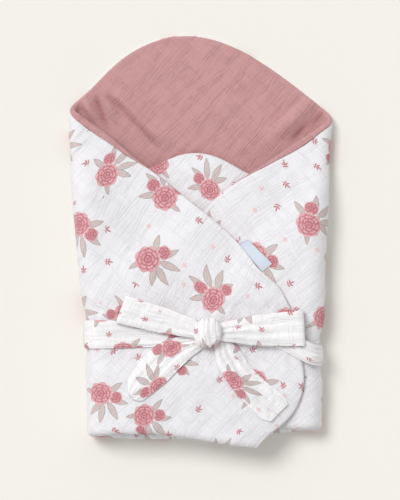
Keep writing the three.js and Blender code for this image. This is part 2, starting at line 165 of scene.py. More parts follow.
@dataclass
class FoldPlan:
    """How the flat sheet is folded: bottom corner up, right flap over, left flap over that.

    Attributes:
        side: Length of the flat sheet's side.
        power: Power of the superellipse that rounds its corners and bows its sides.
        centre_y: Height of the sheet's middle while the sheet lies flat.
        lean_deg: How far it leans out of standing on one corner.
        thick: Thickness of the quilted sheet.
        pitch: Height that each layer adds.
        pocket: Height of the pocket's room.
        foot_room: Height of that room at the closed end.
        foot_reach: Distance from the closed end over which the room opens.
        fade: How far a layer's step fades out beside its edge.
        clear: How far beyond its edge that step starts to fade.
        puff_height: Height by which the wrap swells along its side folds.
        puff_width: Half width of that swelling.
        foot_y: Height of the foot fold's line in the middle.
        foot_slope: How much that line rises to the right.
        foot_level: Half the width over which it is level.
        foot_rise: How far it bows up at the ends of that width.
        foot_droop: How fast it falls away further to the left.
        foot_radius: Radius of the foot fold.
        foot_drift: How far the turned-up corner drifts sideways, for each length of it.
        inner_radius: Radius of a doubled layer inside a side fold.
        inner_inset: How far inside the outer layer the doubled one turns.
        gather: Length over which a doubled layer gathers what it has too much.
        tie_y: Height of the tie's middle.
        tie_half: Half the tie's width.
        tie_under: How far the tie lifts the back off the floor.
        drop_from: Where across the wrap the tie starts to run down to the right.
        drop_to: Where it stops.
        drop_fall: How far down it runs.
        drop_slim: How much narrower it gets on the way.
        pinch_sides: How far the tie draws in the side folds.
        pinch_reach: How far beside the tie the cloth is still drawn in.
        hold_step: How much lower each layer lies under the tie.
        hold_room: Share of the pocket's room that the tie takes.
        hold_swell: Share of the swelling that the tie takes.
        head_swell: Share of the swelling that is gone at the head end.
        pulls: Where hands pulled the folded edges.
    """

    side: float = 756.0
    power: float = 4.8
    centre_y: float = -186.5
    lean_deg: float = 3.0
    thick: float = 6.2
    pitch: float = 9.8
    pocket: float = 9.0
    foot_room: float = 4.4
    foot_reach: float = 80.0
    fade: float = 60.0
    clear: float = 3.0
    puff_height: float = 6.0
    puff_width: float = 42.0
    foot_y: float = -256.0
    foot_slope: float = 0.03
    foot_level: float = 140.0
    foot_rise: float = 7.5
    foot_droop: float = 0.0008
    foot_radius: float = 5.6
    foot_drift: float = 0.0375
    inner_radius: float = 6.2
    inner_inset: float = 9.8
    gather: float = 170.0
    tie_y: float = -124.0
    tie_half: float = 19.0
    tie_under: float = 2.9
    drop_from: float = 96.0
    drop_to: float = 160.0
    drop_fall: float = 28.0
    drop_slim: float = 5.0
    pinch_sides: float = 4.5
    pinch_reach: float = 32.0
    hold_step: float = 0.6
    hold_room: float = 0.34
    hold_swell: float = 0.6
    head_swell: float = 0.8
    pulls: tuple[Pull, ...] = (
        Pull(-285, 88, 125, 0, 21),
        Pull(-365, -34, 88, 15, 13),
        Pull(-300, 46, 50, 3, 4),
        Pull(-442, -320, 64, -26, 9),
        Pull(-447, -283, 50, 10, -9),
        Pull(275, 90, 115, 0, 14),
        Pull(330, 25, 82, -13, 14.5),
        Pull(150, 200, 80, 0, 2),
        Pull(-155, 203, 50, 4.5, -5),
        Pull(105, -618, 60, -6, -15),
        Pull(-45, -636, 45, 3, -6),
        Pull(-440, -330, 46, 7, 11),
        Pull(-190, 184, 32, 3.4, 0),
    )

    def band_y(self, x: Array) -> Array:
        """Return the height of the tie's middle for each x: level, then down to the right side."""
        return self.tie_y - self.drop_fall * smooth(self.drop_from, self.drop_to, x)

    def band_half(self, x: Array) -> Array:
        """Return half the tie's width for each x."""
        return self.tie_half - self.drop_slim * smooth(self.drop_from, self.drop_to, x)

    def band_away(self, x: Array, y: Array) -> Array:
        """Return how far points lie outside the tie."""
        return np.abs(y - self.band_y(x)) - self.band_half(x)

    def waist(self, x: Array, y: Array) -> Array:
        """Return how firmly the tie holds the wrap at each point, from 0 to 1."""
        return 1.0 - smooth(0.0, self.pinch_reach, self.band_away(x, y))

    def line(self, fold: SideFold, y: Array) -> Array:
        """Return the x of a side fold's outside line at each height, drawn in at the waist."""
        steps = (-24.0, -12.0, 0.0, 12.0, 24.0)
        x = sum(np.interp(y + step, fold.line_y, fold.line_x) for step in steps) / len(steps)
        return x - fold.sign * self.pinch_sides * self.waist(fold.sign * self.drop_to, y)

    def beyond(self, fold: SideFold, x: Array, y: Array) -> Array:
        """Return how far each point lies outside a side fold's line, negative inside it."""
        return (x - self.line(fold, y)) * fold.out[0]

    def foot_line(self, x: Array) -> Array:
        """Return the height at which the bottom corner turns up, for each x."""
        level = np.clip(x, -self.foot_level, self.foot_level)
        droop = np.maximum(0.0, -self.foot_level - x)
        rise = self.foot_rise * (level / self.foot_level) ** 2
        return self.foot_y + self.foot_slope * level + rise - self.foot_droop * droop**2

    def sides_of(self, x: Array, y: Array) -> tuple[Array, Array]:
        """Return signed places across the flat sheet, measured square to its two pairs of sides."""
        turn = math.radians(45.0 - self.lean_deg)
        dy = y - self.centre_y
        a = x * math.cos(turn) - dy * math.sin(turn)
        b = x * math.sin(turn) + dy * math.cos(turn)
        return a, b

    def edge_distance(self, x: Array, y: Array) -> Array:
        """Return the distance of each flat point from the sheet's edge, negative inside it."""
        a, b = (np.abs(side) for side in self.sides_of(x, y))
        total = a**self.power + b**self.power + 1.0
        steep = np.hypot(a ** (self.power - 1), b ** (self.power - 1)) / total ** (1 - 1 / self.power)
        return (total ** (1 / self.power) - self.side / 2) / np.maximum(steep, 0.5)

    def unfold_foot(self, x: Array, y: Array) -> tuple[Array, Array]:
        """Return the flat place of points of the layer that the foot fold has turned up."""
        back = 2 * (y - self.foot_line(x)) + math.pi * self.foot_radius
        return x + self.foot_drift * back, y - back

    def unfold_side(
        self, fold: SideFold, x: Array, y: Array, inset: float, radius: float, spare: float
    ) -> tuple[Array, Array]:
        """Return the flat place of points of a layer that a side fold has turned over.

        Args:
            fold: The side fold.
            x: Places across the folded wrap.
            y: Places along it.
            inset: How far inside the outermost layer this one turns.
            radius: Its radius there.
            spare: The length that it gathers.

        Returns:
            The places on the flat sheet.
        """
        inside = -(self.beyond(fold, x, y) + inset) - radius
        gathered = spare * smooth(0.0, self.gather - spare, inside)
        back = 2 * inside + math.pi * radius + gathered
        return x + fold.out[0] * back, y + fold.out[1] * back

    def spare_of(self, radius: Array) -> Array:
        """Return the length by which a doubled layer would reach past the outer one."""
        return 2 * self.inner_inset + (math.pi - 2) * (radius - self.inner_radius)

    def cover(self, x: Array, y: Array) -> Array:
        """Return how much of the sheet lies at flat points, 1 inside it and fading out beside it."""
        return 1.0 - smooth(self.clear, self.clear + self.fade, self.edge_distance(x, y))

    def covers(self, x: Array, y: Array) -> dict[str, Array]:
        """Return how much of each layer lies at points of the folded wrap."""
        over = {"corner": self.cover(*self.unfold_foot(x, y))}
        for fold in (RIGHT_FOLD, LEFT_FOLD):
            flap = self.unfold_side(fold, x, y, 0.0, fold.nominal, 0.0)
            spare = float(self.spare_of(fold.nominal))
            doubled = self.unfold_side(fold, x, y, self.inner_inset, self.inner_radius, spare)
            over[fold.side.value + "_inner"] = self.cover(*self.unfold_foot(*doubled))
            over[fold.side.value + "_flap"] = self.cover(*flap)
        return over

    def heights(self, x: Array, y: Array) -> dict[str, Array]:
        """Return the height of the middle of every layer at points of the folded wrap."""
        held = self.waist(x, y)
        under = self.tie_under * (1.0 - smooth(5.0, 19.0, self.band_away(x, y)))
        step = self.pitch - self.hold_step * held
        puffs = sum(bell(self.beyond(f, x, y), self.puff_width) for f in (RIGHT_FOLD, LEFT_FOLD))
        room = mix(self.foot_room, self.pocket, smooth(self.foot_y, self.foot_y + self.foot_reach, y))
        full = smooth(self.foot_y, self.tie_y, y) * (1 - self.head_swell * smooth(60, 170, y))
        swell = full * (1 - self.hold_swell * held)
        pocket = room * (1 - self.hold_room * held) + self.puff_height * puffs * swell
        over = self.covers(x, y)
        back = self.thick / 2 + under
        base = back + pocket
        corner = base + step
        right_inner = base + step * (1 + over["corner"])
        right_flap = right_inner + step * over["right_inner"]
        left_inner = right_flap + step * over["right_flap"]
        left_flap = left_inner + step * over["left_inner"]
        return {
            "back": back,
            "corner": corner,
            "right_inner": right_inner,
            "right_flap": right_flap,
            "left_inner": left_inner,
            "left_flap": left_flap,
        }

    @staticmethod
    def roll(beyond: Array, radius: Array) -> Roll:
        """Roll a length over a fold of a radius, half a turn and then back the way it came."""
        ahead = np.maximum(beyond, 0.0)
        angle = np.minimum(math.pi, ahead / radius)
        move = ahead - radius * np.sin(angle) + np.maximum(0.0, ahead - math.pi * radius)
        return Roll(move, (1.0 - np.cos(angle)) / 2)

    def folded(self, u: Array, v: Array) -> Array:
        """Fold points of the flat sheet.

        Args:
            u: Places across the flat sheet.
            v: Places along it.

        Returns:
            One row of x, y and z for each point, in millimetres.
        """
        foot = self.roll(self.foot_line(u) - v, self.foot_radius)
        inner = foot.turned
        x = u - self.foot_drift * foot.move
        y = v + foot.move
        turned = {}
        for fold in (RIGHT_FOLD, LEFT_FOLD):
            name = fold.side.value
            edge = self.heights(self.line(fold, y), y)
            outer_radius = (edge[name + "_flap"] - edge["back"]) / 2
            doubled = (edge[name + "_inner"] - edge["corner"]) / 2
            inner_radius = np.maximum(self.inner_radius, doubled)
            radius = mix(outer_radius, inner_radius, inner)
            beyond = self.beyond(fold, x, y) + radius + self.inner_inset * inner
            turn = self.roll(beyond, radius)
            spare = 2 * self.inner_inset + (math.pi - 2) * (outer_radius - inner_radius)
            gathered = inner * spare * smooth(0.0, self.gather, beyond - math.pi * radius)
            move = turn.move - gathered
            x = x - fold.out[0] * move
            y = y - fold.out[1] * move
            turned[name] = turn.turned
        for pull in self.pulls:
            share = bell(np.hypot(u - pull.u, v - pull.v), pull.reach)
            x = x + pull.dx * share
            y = y + pull.dy * share
        level = self.heights(x, y)
        flat = mix(level["back"], level["corner"], inner)
        right = mix(level["right_flap"], level["right_inner"], inner)
        left = mix(level["left_flap"], level["left_inner"], inner)
        z = mix(mix(flat, right, turned["right"]), left, turned["left"])
        return np.stack([x, y, z], axis=-1)


@dataclass(frozen=True)
class Crease:
    """A soft trough or ridge, along a line of spots of the photograph.

    Attributes:
        spots: Columns and rows of the photograph along the line.
        width: Half width in millimetres.
        rise: Height in millimetres, negative for a trough.
        gathers: Height of the small puckers that cross it.
        shade: How much painted shade darkens the cloth down in it, from 0 to 1.
    """

    spots: tuple[tuple[float, float], ...]
    width: float
    rise: float
    gathers: float = 0.0
    shade: float = 0.0


@dataclass(frozen=True)
class Grid:
    """A square grid of points on the flat sheet, in millimetres.

    Attributes:
        u: Places across the flat sheet.
        v: Places along it.
        inset: Distance of each point from the sheet's edge.
    """

    u: Array
    v: Array
    inset: Array

    @property
    def count(self) -> int:
        """Return the number of points along a side."""
        return self.u.shape[0]


def path_distance(x: Array, y: Array, path: Sequence[tuple[float, float]]) -> tuple[Array, Array]:
    """Measure points against a broken line.

    Args:
        x: Places across.
        y: Places along.
        path: Corners of the line.

    Returns:
        The distance from the line, and the length along the line up to the nearest place on it.
    """
    best = np.full(np.shape(x), np.inf)
    along = np.zeros(np.shape(x))
    run = 0.0
    for (ax, ay), (bx, by) in zip(path[:-1], path[1:]):
        length = math.hypot(bx - ax, by - ay)
        share = np.clip(((x - ax) * (bx - ax) + (y - ay) * (by - ay)) / length**2, 0.0, 1.0)
        away = np.hypot(x - mix(ax, bx, share), y - mix(ay, by, share))
        along = np.where(away < best, run + share * length, along)
        best = np.minimum(best, away)
        run += length
    return best, along


def waves(x: Array, y: Array, length: float, seed: int, count: int = 7) -> Array:
    """Sum plane waves of about one length in many directions: soft noise between about -1 and 1."""
    chance = np.random.default_rng(seed)
    total = np.zeros(np.shape(x))
    for _ in range(count):
        turn, phase = chance.uniform(0, 2 * math.pi, 2)
        scale = 2 * math.pi / (length * chance.uniform(0.7, 1.5))
        total = total + np.sin((x * math.cos(turn) + y * math.sin(turn)) * scale + phase)
    return total / math.sqrt(count)


def uneven(x: Array, y: Array, layers: Sequence[tuple[float, float, int]]) -> Array:
    """Return soft unevenness in layers: for each its height, its wave length and its chance's seed."""
    return sum(height * waves(x, y, length, seed) for height, length, seed in layers)


def mesh_object(name: str, points: Array, faces: list[tuple[int, ...]], uv: Array) -> bpy.types.Object:
    """Make a mesh object of points in millimetres, with one UV place for each point in metres.

    Args:
        name: The piece's name.
        points: One row of x, y and z for each point.
        faces: The corners of each face, turning left seen from outside.
        uv: One row of u and v for each point.

    Returns:
        The object, linked to the scene.
    """
    mesh = bpy.data.meshes.new(name)
    mesh.from_pydata((points * MM).tolist(), [], faces)
    layer = mesh.uv_layers.new(name="cloth")
    corners = np.empty(len(mesh.loops), dtype=np.int32)
    mesh.loops.foreach_get("vertex_index", corners)
    layer.data.foreach_set("uv", uv[corners].astype(np.float32).ravel())
    mesh.polygons.foreach_set("use_smooth", [True] * len(mesh.polygons))
    mesh.update()
    piece = bpy.data.objects.new(name, mesh)
    bpy.context.scene.collection.objects.link(piece)
    return piece


# How far the edge rolls outwards at the head end: places from the middle, and the width of the roll there.
LEFT_ROLL = ((150, 176, 200, 221, 246, 273, 300), (0, 3, 9, 9, 6.5, 3.5, 0.4))
RIGHT_ROLL = ((155, 180, 205, 218, 235, 255, 282, 330, 380), (0, 4, 9, 10, 8.5, 5.4, 4, 2.4, 0))


@dataclass
class QuiltedSheet:
    """The sheet that is folded: a printed outside with its padding, and a lining that shows within.

    Attributes:
        plan: How it is folded.
        padding_face: Offset of the padding's inner face from the middle of the sheet.
        lining_face: Offset of the lining's hidden face.
        outer_cell: Size of the mesh's cells on the printed outside.
        lining_cell: Size of the mesh's cells on the lining.
        lining_cell_hidden: Size of the lining's cells in the half that lies under the flaps.
        wrap_rings: Rings of points by which the lining goes round the edge.
        edge_steps: Distances of the mesh's first lines from the sheet's edge.
        slope_step: Half the length over which the sheet's slope is measured.
        rim_reach: How far inside the edge its fullness fades out on the printed outside.
        lining_reach: The same on the lining.
        unevenness: Height, wave length and seed of the quilt's soft unevenness.
        gather_reach: How far beside the tie the cloth is gathered.
        gather_pitches: Distances between the wide and the narrow gathers.
        edge_drop: How far a free edge sinks on to what lies under it.
        edge_reach: How far inside the edge that sinking starts.
        corner_tuck: How much further the turned-up corner sinks.
        creases: Soft troughs and ridges.
    """

    plan: FoldPlan = field(default_factory=FoldPlan)
    padding_face: float = 1.5
    lining_face: float = 1.8
    outer_cell: float = 3.9
    lining_cell: float = 2.9
    lining_cell_hidden: float = 6.8
    wrap_rings: int = 14
    edge_steps: tuple[float, ...] = (0.0, 0.4, 1.1, 2.2, 3.6, 5.4, 7.8, 10.8)
    slope_step: float = 0.6
    rim_reach: float = 16.0
    lining_reach: float = 14.0
    unevenness: tuple[tuple[float, float, int], ...] = ((0.55, 95.0, 11), (0.3, 42.0, 23))
    gather_reach: float = 26.0
    gather_pitches: tuple[float, float] = (15.0, 8.7)
    edge_drop: float = 2.6
    edge_reach: float = 22.0
    corner_tuck: float = 5.0
    creases: tuple[Crease, ...] = ()

    @property
    def half(self) -> float:
        """Return half the thickness of the sheet."""
        return self.plan.thick / 2

    def steps(self, cell_low: float, cell_high: float) -> Array:
        """Return places across the sheet from -1 to 1, close together at the edges.

        Args:
            cell_low: Size of a cell in the half towards -1.
            cell_high: Size of a cell in the half towards +1.

        Returns:
            The places in order.
        """
        reach = self.plan.side / 2
        halves = []
        for cell in (cell_low, cell_high):
            start = self.edge_steps[-1]
            inner = np.linspace(start, reach, max(2, round((reach - start) / cell)) + 1)[1:]
            halves.append(1.0 - np.concatenate([self.edge_steps, inner]) / reach)
        low, high = halves
        return np.concatenate([-low[:-1], [0.0], high[:-1][::-1]])

    def grid(self, steps: Array, edge: Callable[[Array, Array], Array]) -> Grid:
        """Lay a grid of points on the flat sheet, with rings that follow its rounded outline.

        Args:
            steps: Places of the grid's lines from -1 to 1.
            edge: Gives, for points of the sheet's edge, how far inside it the outermost ring lies.

        Returns:
            The grid, with the distance of each point from the sheet's edge.
        """
        plan = self.plan
        p, q = np.meshgrid(steps, steps, indexing="ij")
        ring = np.maximum(np.abs(p), np.abs(q))
        safe = np.maximum(ring, 1e-9)
        across, along = np.abs(p) / safe, np.abs(q) / safe
        corner = np.maximum(across**plan.power + along**plan.power, 1e-9) ** (-1.0 / plan.power)
        shrink = np.where(ring > 1e-9, 1.0 - (1.0 - corner) * ring**2, 1.0)
        reach = plan.side / 2
        rim_u, rim_v = self.from_sides(p / safe * corner * reach, q / safe * corner * reach)
        inset = edge(rim_u, rim_v)
        away = (1.0 - ring) * reach
        drawn = inset * (1.0 - smooth(0.0, 45.0, away))
        shrink = shrink * (1.0 - drawn / reach)
        u, v = self.from_sides(p * shrink * reach, q * shrink * reach)
        return Grid(u, v, away + drawn)

    def from_sides(self, a: Array, b: Array) -> tuple[Array, Array]:
        """Return the flat place of points given square to the sheet's two pairs of sides."""
        turn = math.radians(45.0 - self.plan.lean_deg)
        u = a * math.cos(turn) + b * math.sin(turn)
        v = -a * math.sin(turn) + b * math.cos(turn) + self.plan.centre_y
        return u, v

    def lip(self, u: Array, v: Array) -> Array:
        """Return how far the lining rolls on to the printed side, for points near the edge.

        The edge is rolled outwards where both flaps leave the side folds at the head end.
        """
        return self.at_head(v) * np.where(u < 0, np.interp(-u, *LEFT_ROLL), np.interp(u, *RIGHT_ROLL))

    @staticmethod
    def at_head(v: Array) -> Array:
        """Return 1 at the head end of the flat sheet and 0 from a little above its middle down."""
        return smooth(40.0, 90.0, v)

    def rim_radius(self, u: Array, v: Array) -> Array:
        """Return the radius of the sheet's rounded edge: fuller where it is rolled outwards."""
        left = 1.2 * bell(u + 205, 34)
        right = 2.0 * bell(u - 205, 30)
        return self.half + self.at_head(v) * (left + right)

    def relief(self, u: Array, v: Array, x: Array, y: Array) -> Array:
        """Return how far the quilted cloth stands off its smooth folded shape, in millimetres.

        Args:
            u: Places across the flat sheet.
            v: Places along it.
            x: Places of the same points across the folded wrap.
            y: Places along the folded wrap.

        Returns:
            The offset towards the lining's side.
        """
        soft = uneven(u, v, self.unevenness)
        gathered = bell(np.maximum(self.plan.band_away(x, y), 0.0), self.gather_reach)
        along = x + 5.0 * waves(u, v, 80.0, 31, 4)
        wide, narrow = (along * 2 * math.pi / pitch for pitch in self.gather_pitches)
        gathers = 1.1 * np.sin(wide) + 0.7 * np.sin(narrow + 1.3)
        return soft * (1.0 - 0.6 * gathered) + gathers * gathered * 0.7

    @staticmethod
    def beside(crease: Crease, u: Array, v: Array, start: float, end: float) -> tuple[Array, Array, Array]:
        """Measure flat points against a crease.

        Args:
            crease: The crease.
            u: Places across the flat sheet.
            v: Places along it.
            start: Length over which it comes up from its first spot.
            end: Length over which it runs out to its last spot.

        Returns:
            The distance from it, the length along it, and how much of it is there, from 0 to 1.
        """
        path = [from_photo(*spot) for spot in crease.spots]
        length = sum(math.dist(a, b) for a, b in zip(path[:-1], path[1:]))
        away, along = path_distance(u, v, path)
        return away, along, smooth(-0.001, start, along) * smooth(-0.001, end, length - along)

    def crease_rise(self, u: Array, v: Array) -> Array:
        """Return the height of the listed creases of the back layer at flat points."""
        total = np.zeros(np.shape(u))
        for crease in self.creases:
            away, along, ends = self.beside(crease, u, v, 22.0, 22.0)
            total = total + crease.rise * bell(away, crease.width) * (0.25 + 0.75 * ends)
            if crease.gathers:
                wave = np.sin(along * 2 * math.pi / 6.4 + 0.9 * waves(u, v, 30.0, 5, 3))
                total = total + crease.gathers * wave * bell(away, crease.width * 2.6) * ends
        return total

    def painted_crease_shade(self, u: Array, v: Array) -> Array:
        """Return the painted shade down in the creases of the back layer at flat points, from 0 to 1."""
        total = np.zeros(np.shape(u))
        for crease in self.creases:
            away, _, ends = self.beside(crease, u, v, 14.0, 26.0)
            total = np.maximum(total, crease.shade * bell(away, min(crease.width, 3.4)) * ends)
        return total

    def settled(self, u: Array, v: Array) -> Array:
        """Fold points and let the free edges sink on to what lies under them."""
        points = self.plan.folded(u, v)
        inset = np.maximum(0.0, -self.plan.edge_distance(u, v))
        turned_up = smooth(0.0, 20.0, self.plan.foot_line(u) - v)
        lying_over = np.maximum(turned_up, smooth(150.0, 230.0, np.abs(u)))
        corner = turned_up * (1.0 - smooth(110.0, 150.0, np.abs(points[..., 0])))
        drop = self.edge_drop * lying_over * (1.0 - smooth(0.0, self.edge_reach, inset))
        tucked = self.corner_tuck * corner * (1.0 - smooth(0.0, 70.0, inset))
        points[..., 2] -= drop + tucked * smooth(0.0, 90.0, points[..., 1])
        return points

    def surface(self, u: Array, v: Array, offset: Array) -> Array:
        """Return points of the folded sheet at an offset towards the lining's side.

        Args:
            u: Places across the flat sheet.
            v: Places along it.
            offset: How far from the middle of the sheet, positive towards the lining.

        Returns:
            One row of x, y and z for each point.
        """
        step = self.slope_step
        middle = self.settled(u, v)
        across = self.settled(u + step, v) - self.settled(u - step, v)
        along = self.settled(u, v + step) - self.settled(u, v - step)
        facing = unit(np.cross(across, along))
        lift = offset + self.relief(u, v, middle[..., 0], middle[..., 1])
        between_sides = 1.0 - smooth(168.0, 186.0, np.abs(u))
        back_layer = smooth(0.0, 14.0, v - self.plan.foot_line(u)) * between_sides
        upper = smooth(-self.half, 0.0, offset)
        lift = lift + self.crease_rise(u, v) * back_layer * upper
        placed = middle + facing * lift[..., None] + PLACE
        placed[..., 2] = np.maximum(placed[..., 2], FLOOR_GAP)
        return placed

    def uv_of(self, u: Array, v: Array) -> Array:
        """Return UV places in metres, along the threads of the flat cloth."""
        a, b = self.plan.sides_of(u, v)
        return np.stack([a, b], axis=-1) * MM

    @staticmethod
    def grid_faces(count: int, start: int, flip: bool) -> list[tuple[int, ...]]:
        """Return the four-sided faces of a square grid of points.

        Args:
            count: Points along a side.
            start: Number of the grid's first point.
            flip: Whether the faces look to the other side.

        Returns:
            The corners of each face.
        """
        first = (np.arange(count - 1)[:, None] * count + np.arange(count - 1)[None, :]).ravel() + start
        corners = np.stack([first, first + count, first + count + 1, first + 1], axis=-1)
        return (corners[:, ::-1] if flip else corners).tolist()

    @staticmethod
    def border(count: int) -> Array:
        """Return the numbers of a square grid's outermost points, in order round it."""
        last = count - 1
        sides = [
            np.arange(last) * count,
            last * count + np.arange(last),
            (last - np.arange(last)) * count + last,
            last - np.arange(last),
        ]
        return np.concatenate(sides)

    @staticmethod
    def ring_faces(inner: Array, outer: Array) -> list[tuple[int, ...]]:
        """Return the faces between two closed rings of points of the same count."""
        after_inner, after_outer = np.roll(inner, -1), np.roll(outer, -1)
        return np.stack([inner, outer, after_outer, after_inner], axis=-1).tolist()

    @staticmethod
    def quarter_round(share: Array) -> Array:
        """Return the height of a quarter circle: 0 at no share, 1 at a full one or more."""
        return np.sqrt(1.0 - (1.0 - np.minimum(1.0, share)) ** 2)

    def build_outer(self) -> bpy.types.Object:
        """Build the printed outside with the padding behind it, as one closed sheet."""
        grid = self.grid(self.steps(self.outer_cell, self.outer_cell), self.lip)
        thin, tuck_depth, tuck_reach = 0.05, 1.7, 2.4
        lip = self.lip(grid.u, grid.v)
        rolled = smooth(0.0, self.half, lip)
        inside = np.maximum(0.0, grid.inset - lip)
        round_edge = self.quarter_round(inside / self.half)
        tucked = self.half - tuck_depth + tuck_depth * self.quarter_round(inside / tuck_reach)
        face = mix(thin + (self.half - thin) * round_edge, tucked, rolled)
        fuller = self.rim_radius(grid.u, grid.v) - self.half
        face = face + fuller * bell(grid.inset, self.rim_reach)
        hidden = self.padding_face * np.minimum(1.0, inside / self.half) + thin
        front = self.surface(grid.u, grid.v, -face).reshape(-1, 3)
        behind = self.surface(grid.u, grid.v, hidden).reshape(-1, 3)
        uv = self.uv_of(grid.u, grid.v).reshape(-1, 2)
        total = grid.count**2
        edge = self.border(grid.count)
        faces = self.grid_faces(grid.count, 0, True) + self.grid_faces(grid.count, total, False)
        faces += self.ring_faces(edge + total, edge)
        return mesh_object("outer_cloth", np.concatenate([front, behind]), faces, np.concatenate([uv, uv]))

    def lining_face_points(self, grid: Grid, edge: Array, skin: float) -> tuple[Array, Array]:
        """Lay one face of the lining, over the whole sheet and then round the edge of the quilt.

        Args:
            grid: The grid of points on the flat sheet.
            edge: Numbers of its outermost points.
            skin: Depth of the face inside the lining, 0 for the one that shows.

        Returns:
            The points and their UV places.
        """
        fuller = self.rim_radius(grid.u, grid.v) - self.half
        bulge = fuller * bell(grid.inset - self.half - fuller, self.lining_reach)
        rim_u, rim_v = grid.u.ravel()[edge], grid.v.ravel()[edge]
        radius = self.rim_radius(rim_u, rim_v)
        lip = self.lip(rim_u, rim_v)
        beyond = np.clip(1.0 - lip / radius, 0.0, 1.0)
        length = radius * (math.pi - np.arcsin(beyond)) + np.maximum(0.0, lip - radius)
        out_u, out_v = self.outward(rim_u, rim_v)
        rows = [self.surface(grid.u, grid.v, self.half - skin + bulge).reshape(-1, 3)]
        uvs = [self.uv_of(grid.u, grid.v).reshape(-1, 2)]
        for ring in range(1, self.wrap_rings + 1):
            run = length * ring / self.wrap_rings
            angle = np.minimum(math.pi, run / radius)
            back = np.maximum(0.0, run - math.pi * radius)
            push = (radius - skin) * np.sin(angle) - back
            settle = (radius - self.half) * (1.0 - bell(back, self.lining_reach))
            high = (radius - skin) * np.cos(angle) + np.where(back > 0, settle, 0.0)
            rows.append(self.surface(rim_u + out_u * push, rim_v + out_v * push, high))
            uvs.append(self.uv_of(rim_u + out_u * run, rim_v + out_v * run))
        return np.concatenate(rows), np.concatenate(uvs)

    def build_lining(self) -> bpy.types.Object:
        """Build the lining as one closed sheet, with the painted shade of its creases kept for its material.
        """
        grid = self.grid(self.steps(self.lining_cell_hidden, self.lining_cell), self.rim_radius)
        edge = self.border(grid.count)
        shown, uv = self.lining_face_points(grid, edge, 0.0)
        hidden, _ = self.lining_face_points(grid, edge, self.half - self.lining_face)
        total, around = len(shown), len(edge)
        rings = [edge]
        for ring in range(self.wrap_rings):
            rings.append(grid.count**2 + ring * around + np.arange(around))
        faces = self.grid_faces(grid.count, 0, False) + self.grid_faces(grid.count, total, True)
        for inner, outer in zip(rings[:-1], rings[1:]):
            faces += self.ring_faces(inner, outer)
            faces += self.ring_faces(outer + total, inner + total)
        faces += self.ring_faces(rings[-1], rings[-1] + total)
        piece = mesh_object("lining_cloth", np.concatenate([shown, hidden]), faces, np.concatenate([uv, uv]))
        # Painted shade down in the creases, stored on the shown face for the lining's material to darken it.
        dark = np.zeros(len(piece.data.vertices), dtype=np.float32)
        dark[: grid.count**2] = self.painted_crease_shade(grid.u, grid.v).ravel()
        piece.data.attributes.new("painted_crease_shade", "FLOAT", "POINT").data.foreach_set("value", dark)
        return piece

    def outward(self, u: Array, v: Array) -> tuple[Array, Array]:
        """Return the direction square to the sheet's edge, away from it, at flat points."""
        step = 0.5
        plan = self.plan
        du = plan.edge_distance(u + step, v) - plan.edge_distance(u - step, v)
        dv = plan.edge_distance(u, v + step) - plan.edge_distance(u, v - step)
        size = np.maximum(np.hypot(du, dv), 1e-9)
        return du / size, dv / size


def shell_object(name: str, front: Array, back: Array, uv: Array, ring: bool) -> bpy.types.Object:
    """Make a closed sheet of two grids of points, joined round their edges.

    It is moved as the whole wrap is, and its UV places start at a patch of the cloth of its own.

    Args:
        name: The piece's name.
        front: Points of the side that shows, as rows along the piece and columns across it.
        back: Points of the other side, in the same order.
        uv: UV places of the same grid, in millimetres.
        ring: Whether the last row joins the first.

    Returns:
        The object.
    """
    patch = np.array([137.0, 61.0]) * len(name)
    rows, columns = front.shape[:2]
    total = rows * columns
    middle_row, middle_column = rows // 2, columns // 2
    here = front[middle_row, middle_column]
    along = front[middle_row + 1, middle_column] - here
    across = front[middle_row, middle_column + 1] - here
    flip = float(np.dot(np.cross(along, across), here - back[middle_row, middle_column])) < 0
    spans = rows if ring else rows - 1
    faces: list[tuple[int, ...]] = []
    for i in range(spans):
        after = (i + 1) % rows
        for j in range(columns - 1):
            a, b = i * columns + j, after * columns + j
            faces.append((a, b, b + 1, a + 1))
            faces.append((a + total, a + 1 + total, b + 1 + total, b + total))
        for j, turn in ((0, False), (columns - 1, True)):
            a, b = i * columns + j, after * columns + j
            faces.append((b, a, a + total, b + total) if turn else (a, b, b + total, a + total))
    if not ring:
        for i, turn in ((0, True), (rows - 1, False)):
            for j in range(columns - 1):
                a = i * columns + j
                face = (a, a + 1, a + 1 + total, a + total)
                faces.append(face[::-1] if turn else face)
    # The side strips above look outwards where the front faces turn left; otherwise all turn round.
    faces = [face[::-1] for face in faces] if flip else faces
    points = np.concatenate([front.reshape(-1, 3), back.reshape(-1, 3)]) + PLACE
    places = (uv.reshape(-1, 2) + patch) * MM
    return mesh_object(name, points, faces, np.concatenate([places, places]))


def smooth_path(points: Sequence[Sequence[float]], count: int) -> Array:
    """Return a soft line through a few points, with even steps along it.

    Args:
        points: Rows of any numbers, of which the first two are x and y.
        count: How many rows to return.

    Returns:
        The rows of the soft line.
    """
    knots = np.asarray(points, dtype=float)
    padded = np.concatenate([[2 * knots[0] - knots[1]], knots, [2 * knots[-1] - knots[-2]]])
    dense = []
    for i in range(1, len(padded) - 2):
        p0, p1, p2, p3 = padded[i - 1 : i + 3]
        t = np.linspace(0.0, 1.0, 40, endpoint=False)[:, None]
        bent = 2 * p1 + (p2 - p0) * t + (2 * p0 - 5 * p1 + 4 * p2 - p3) * t**2
        dense.append(0.5 * (bent + (3 * p1 - p0 - 3 * p2 + p3) * t**3))
    line = np.concatenate([*dense, [knots[-1]]])
    run = np.concatenate([[0.0], np.cumsum(np.hypot(*np.diff(line[:, :2], axis=0).T))])
    even = np.linspace(0.0, run[-1], count)
    return np.stack([np.interp(even, run, line[:, k]) for k in range(line.shape[1])], axis=-1)


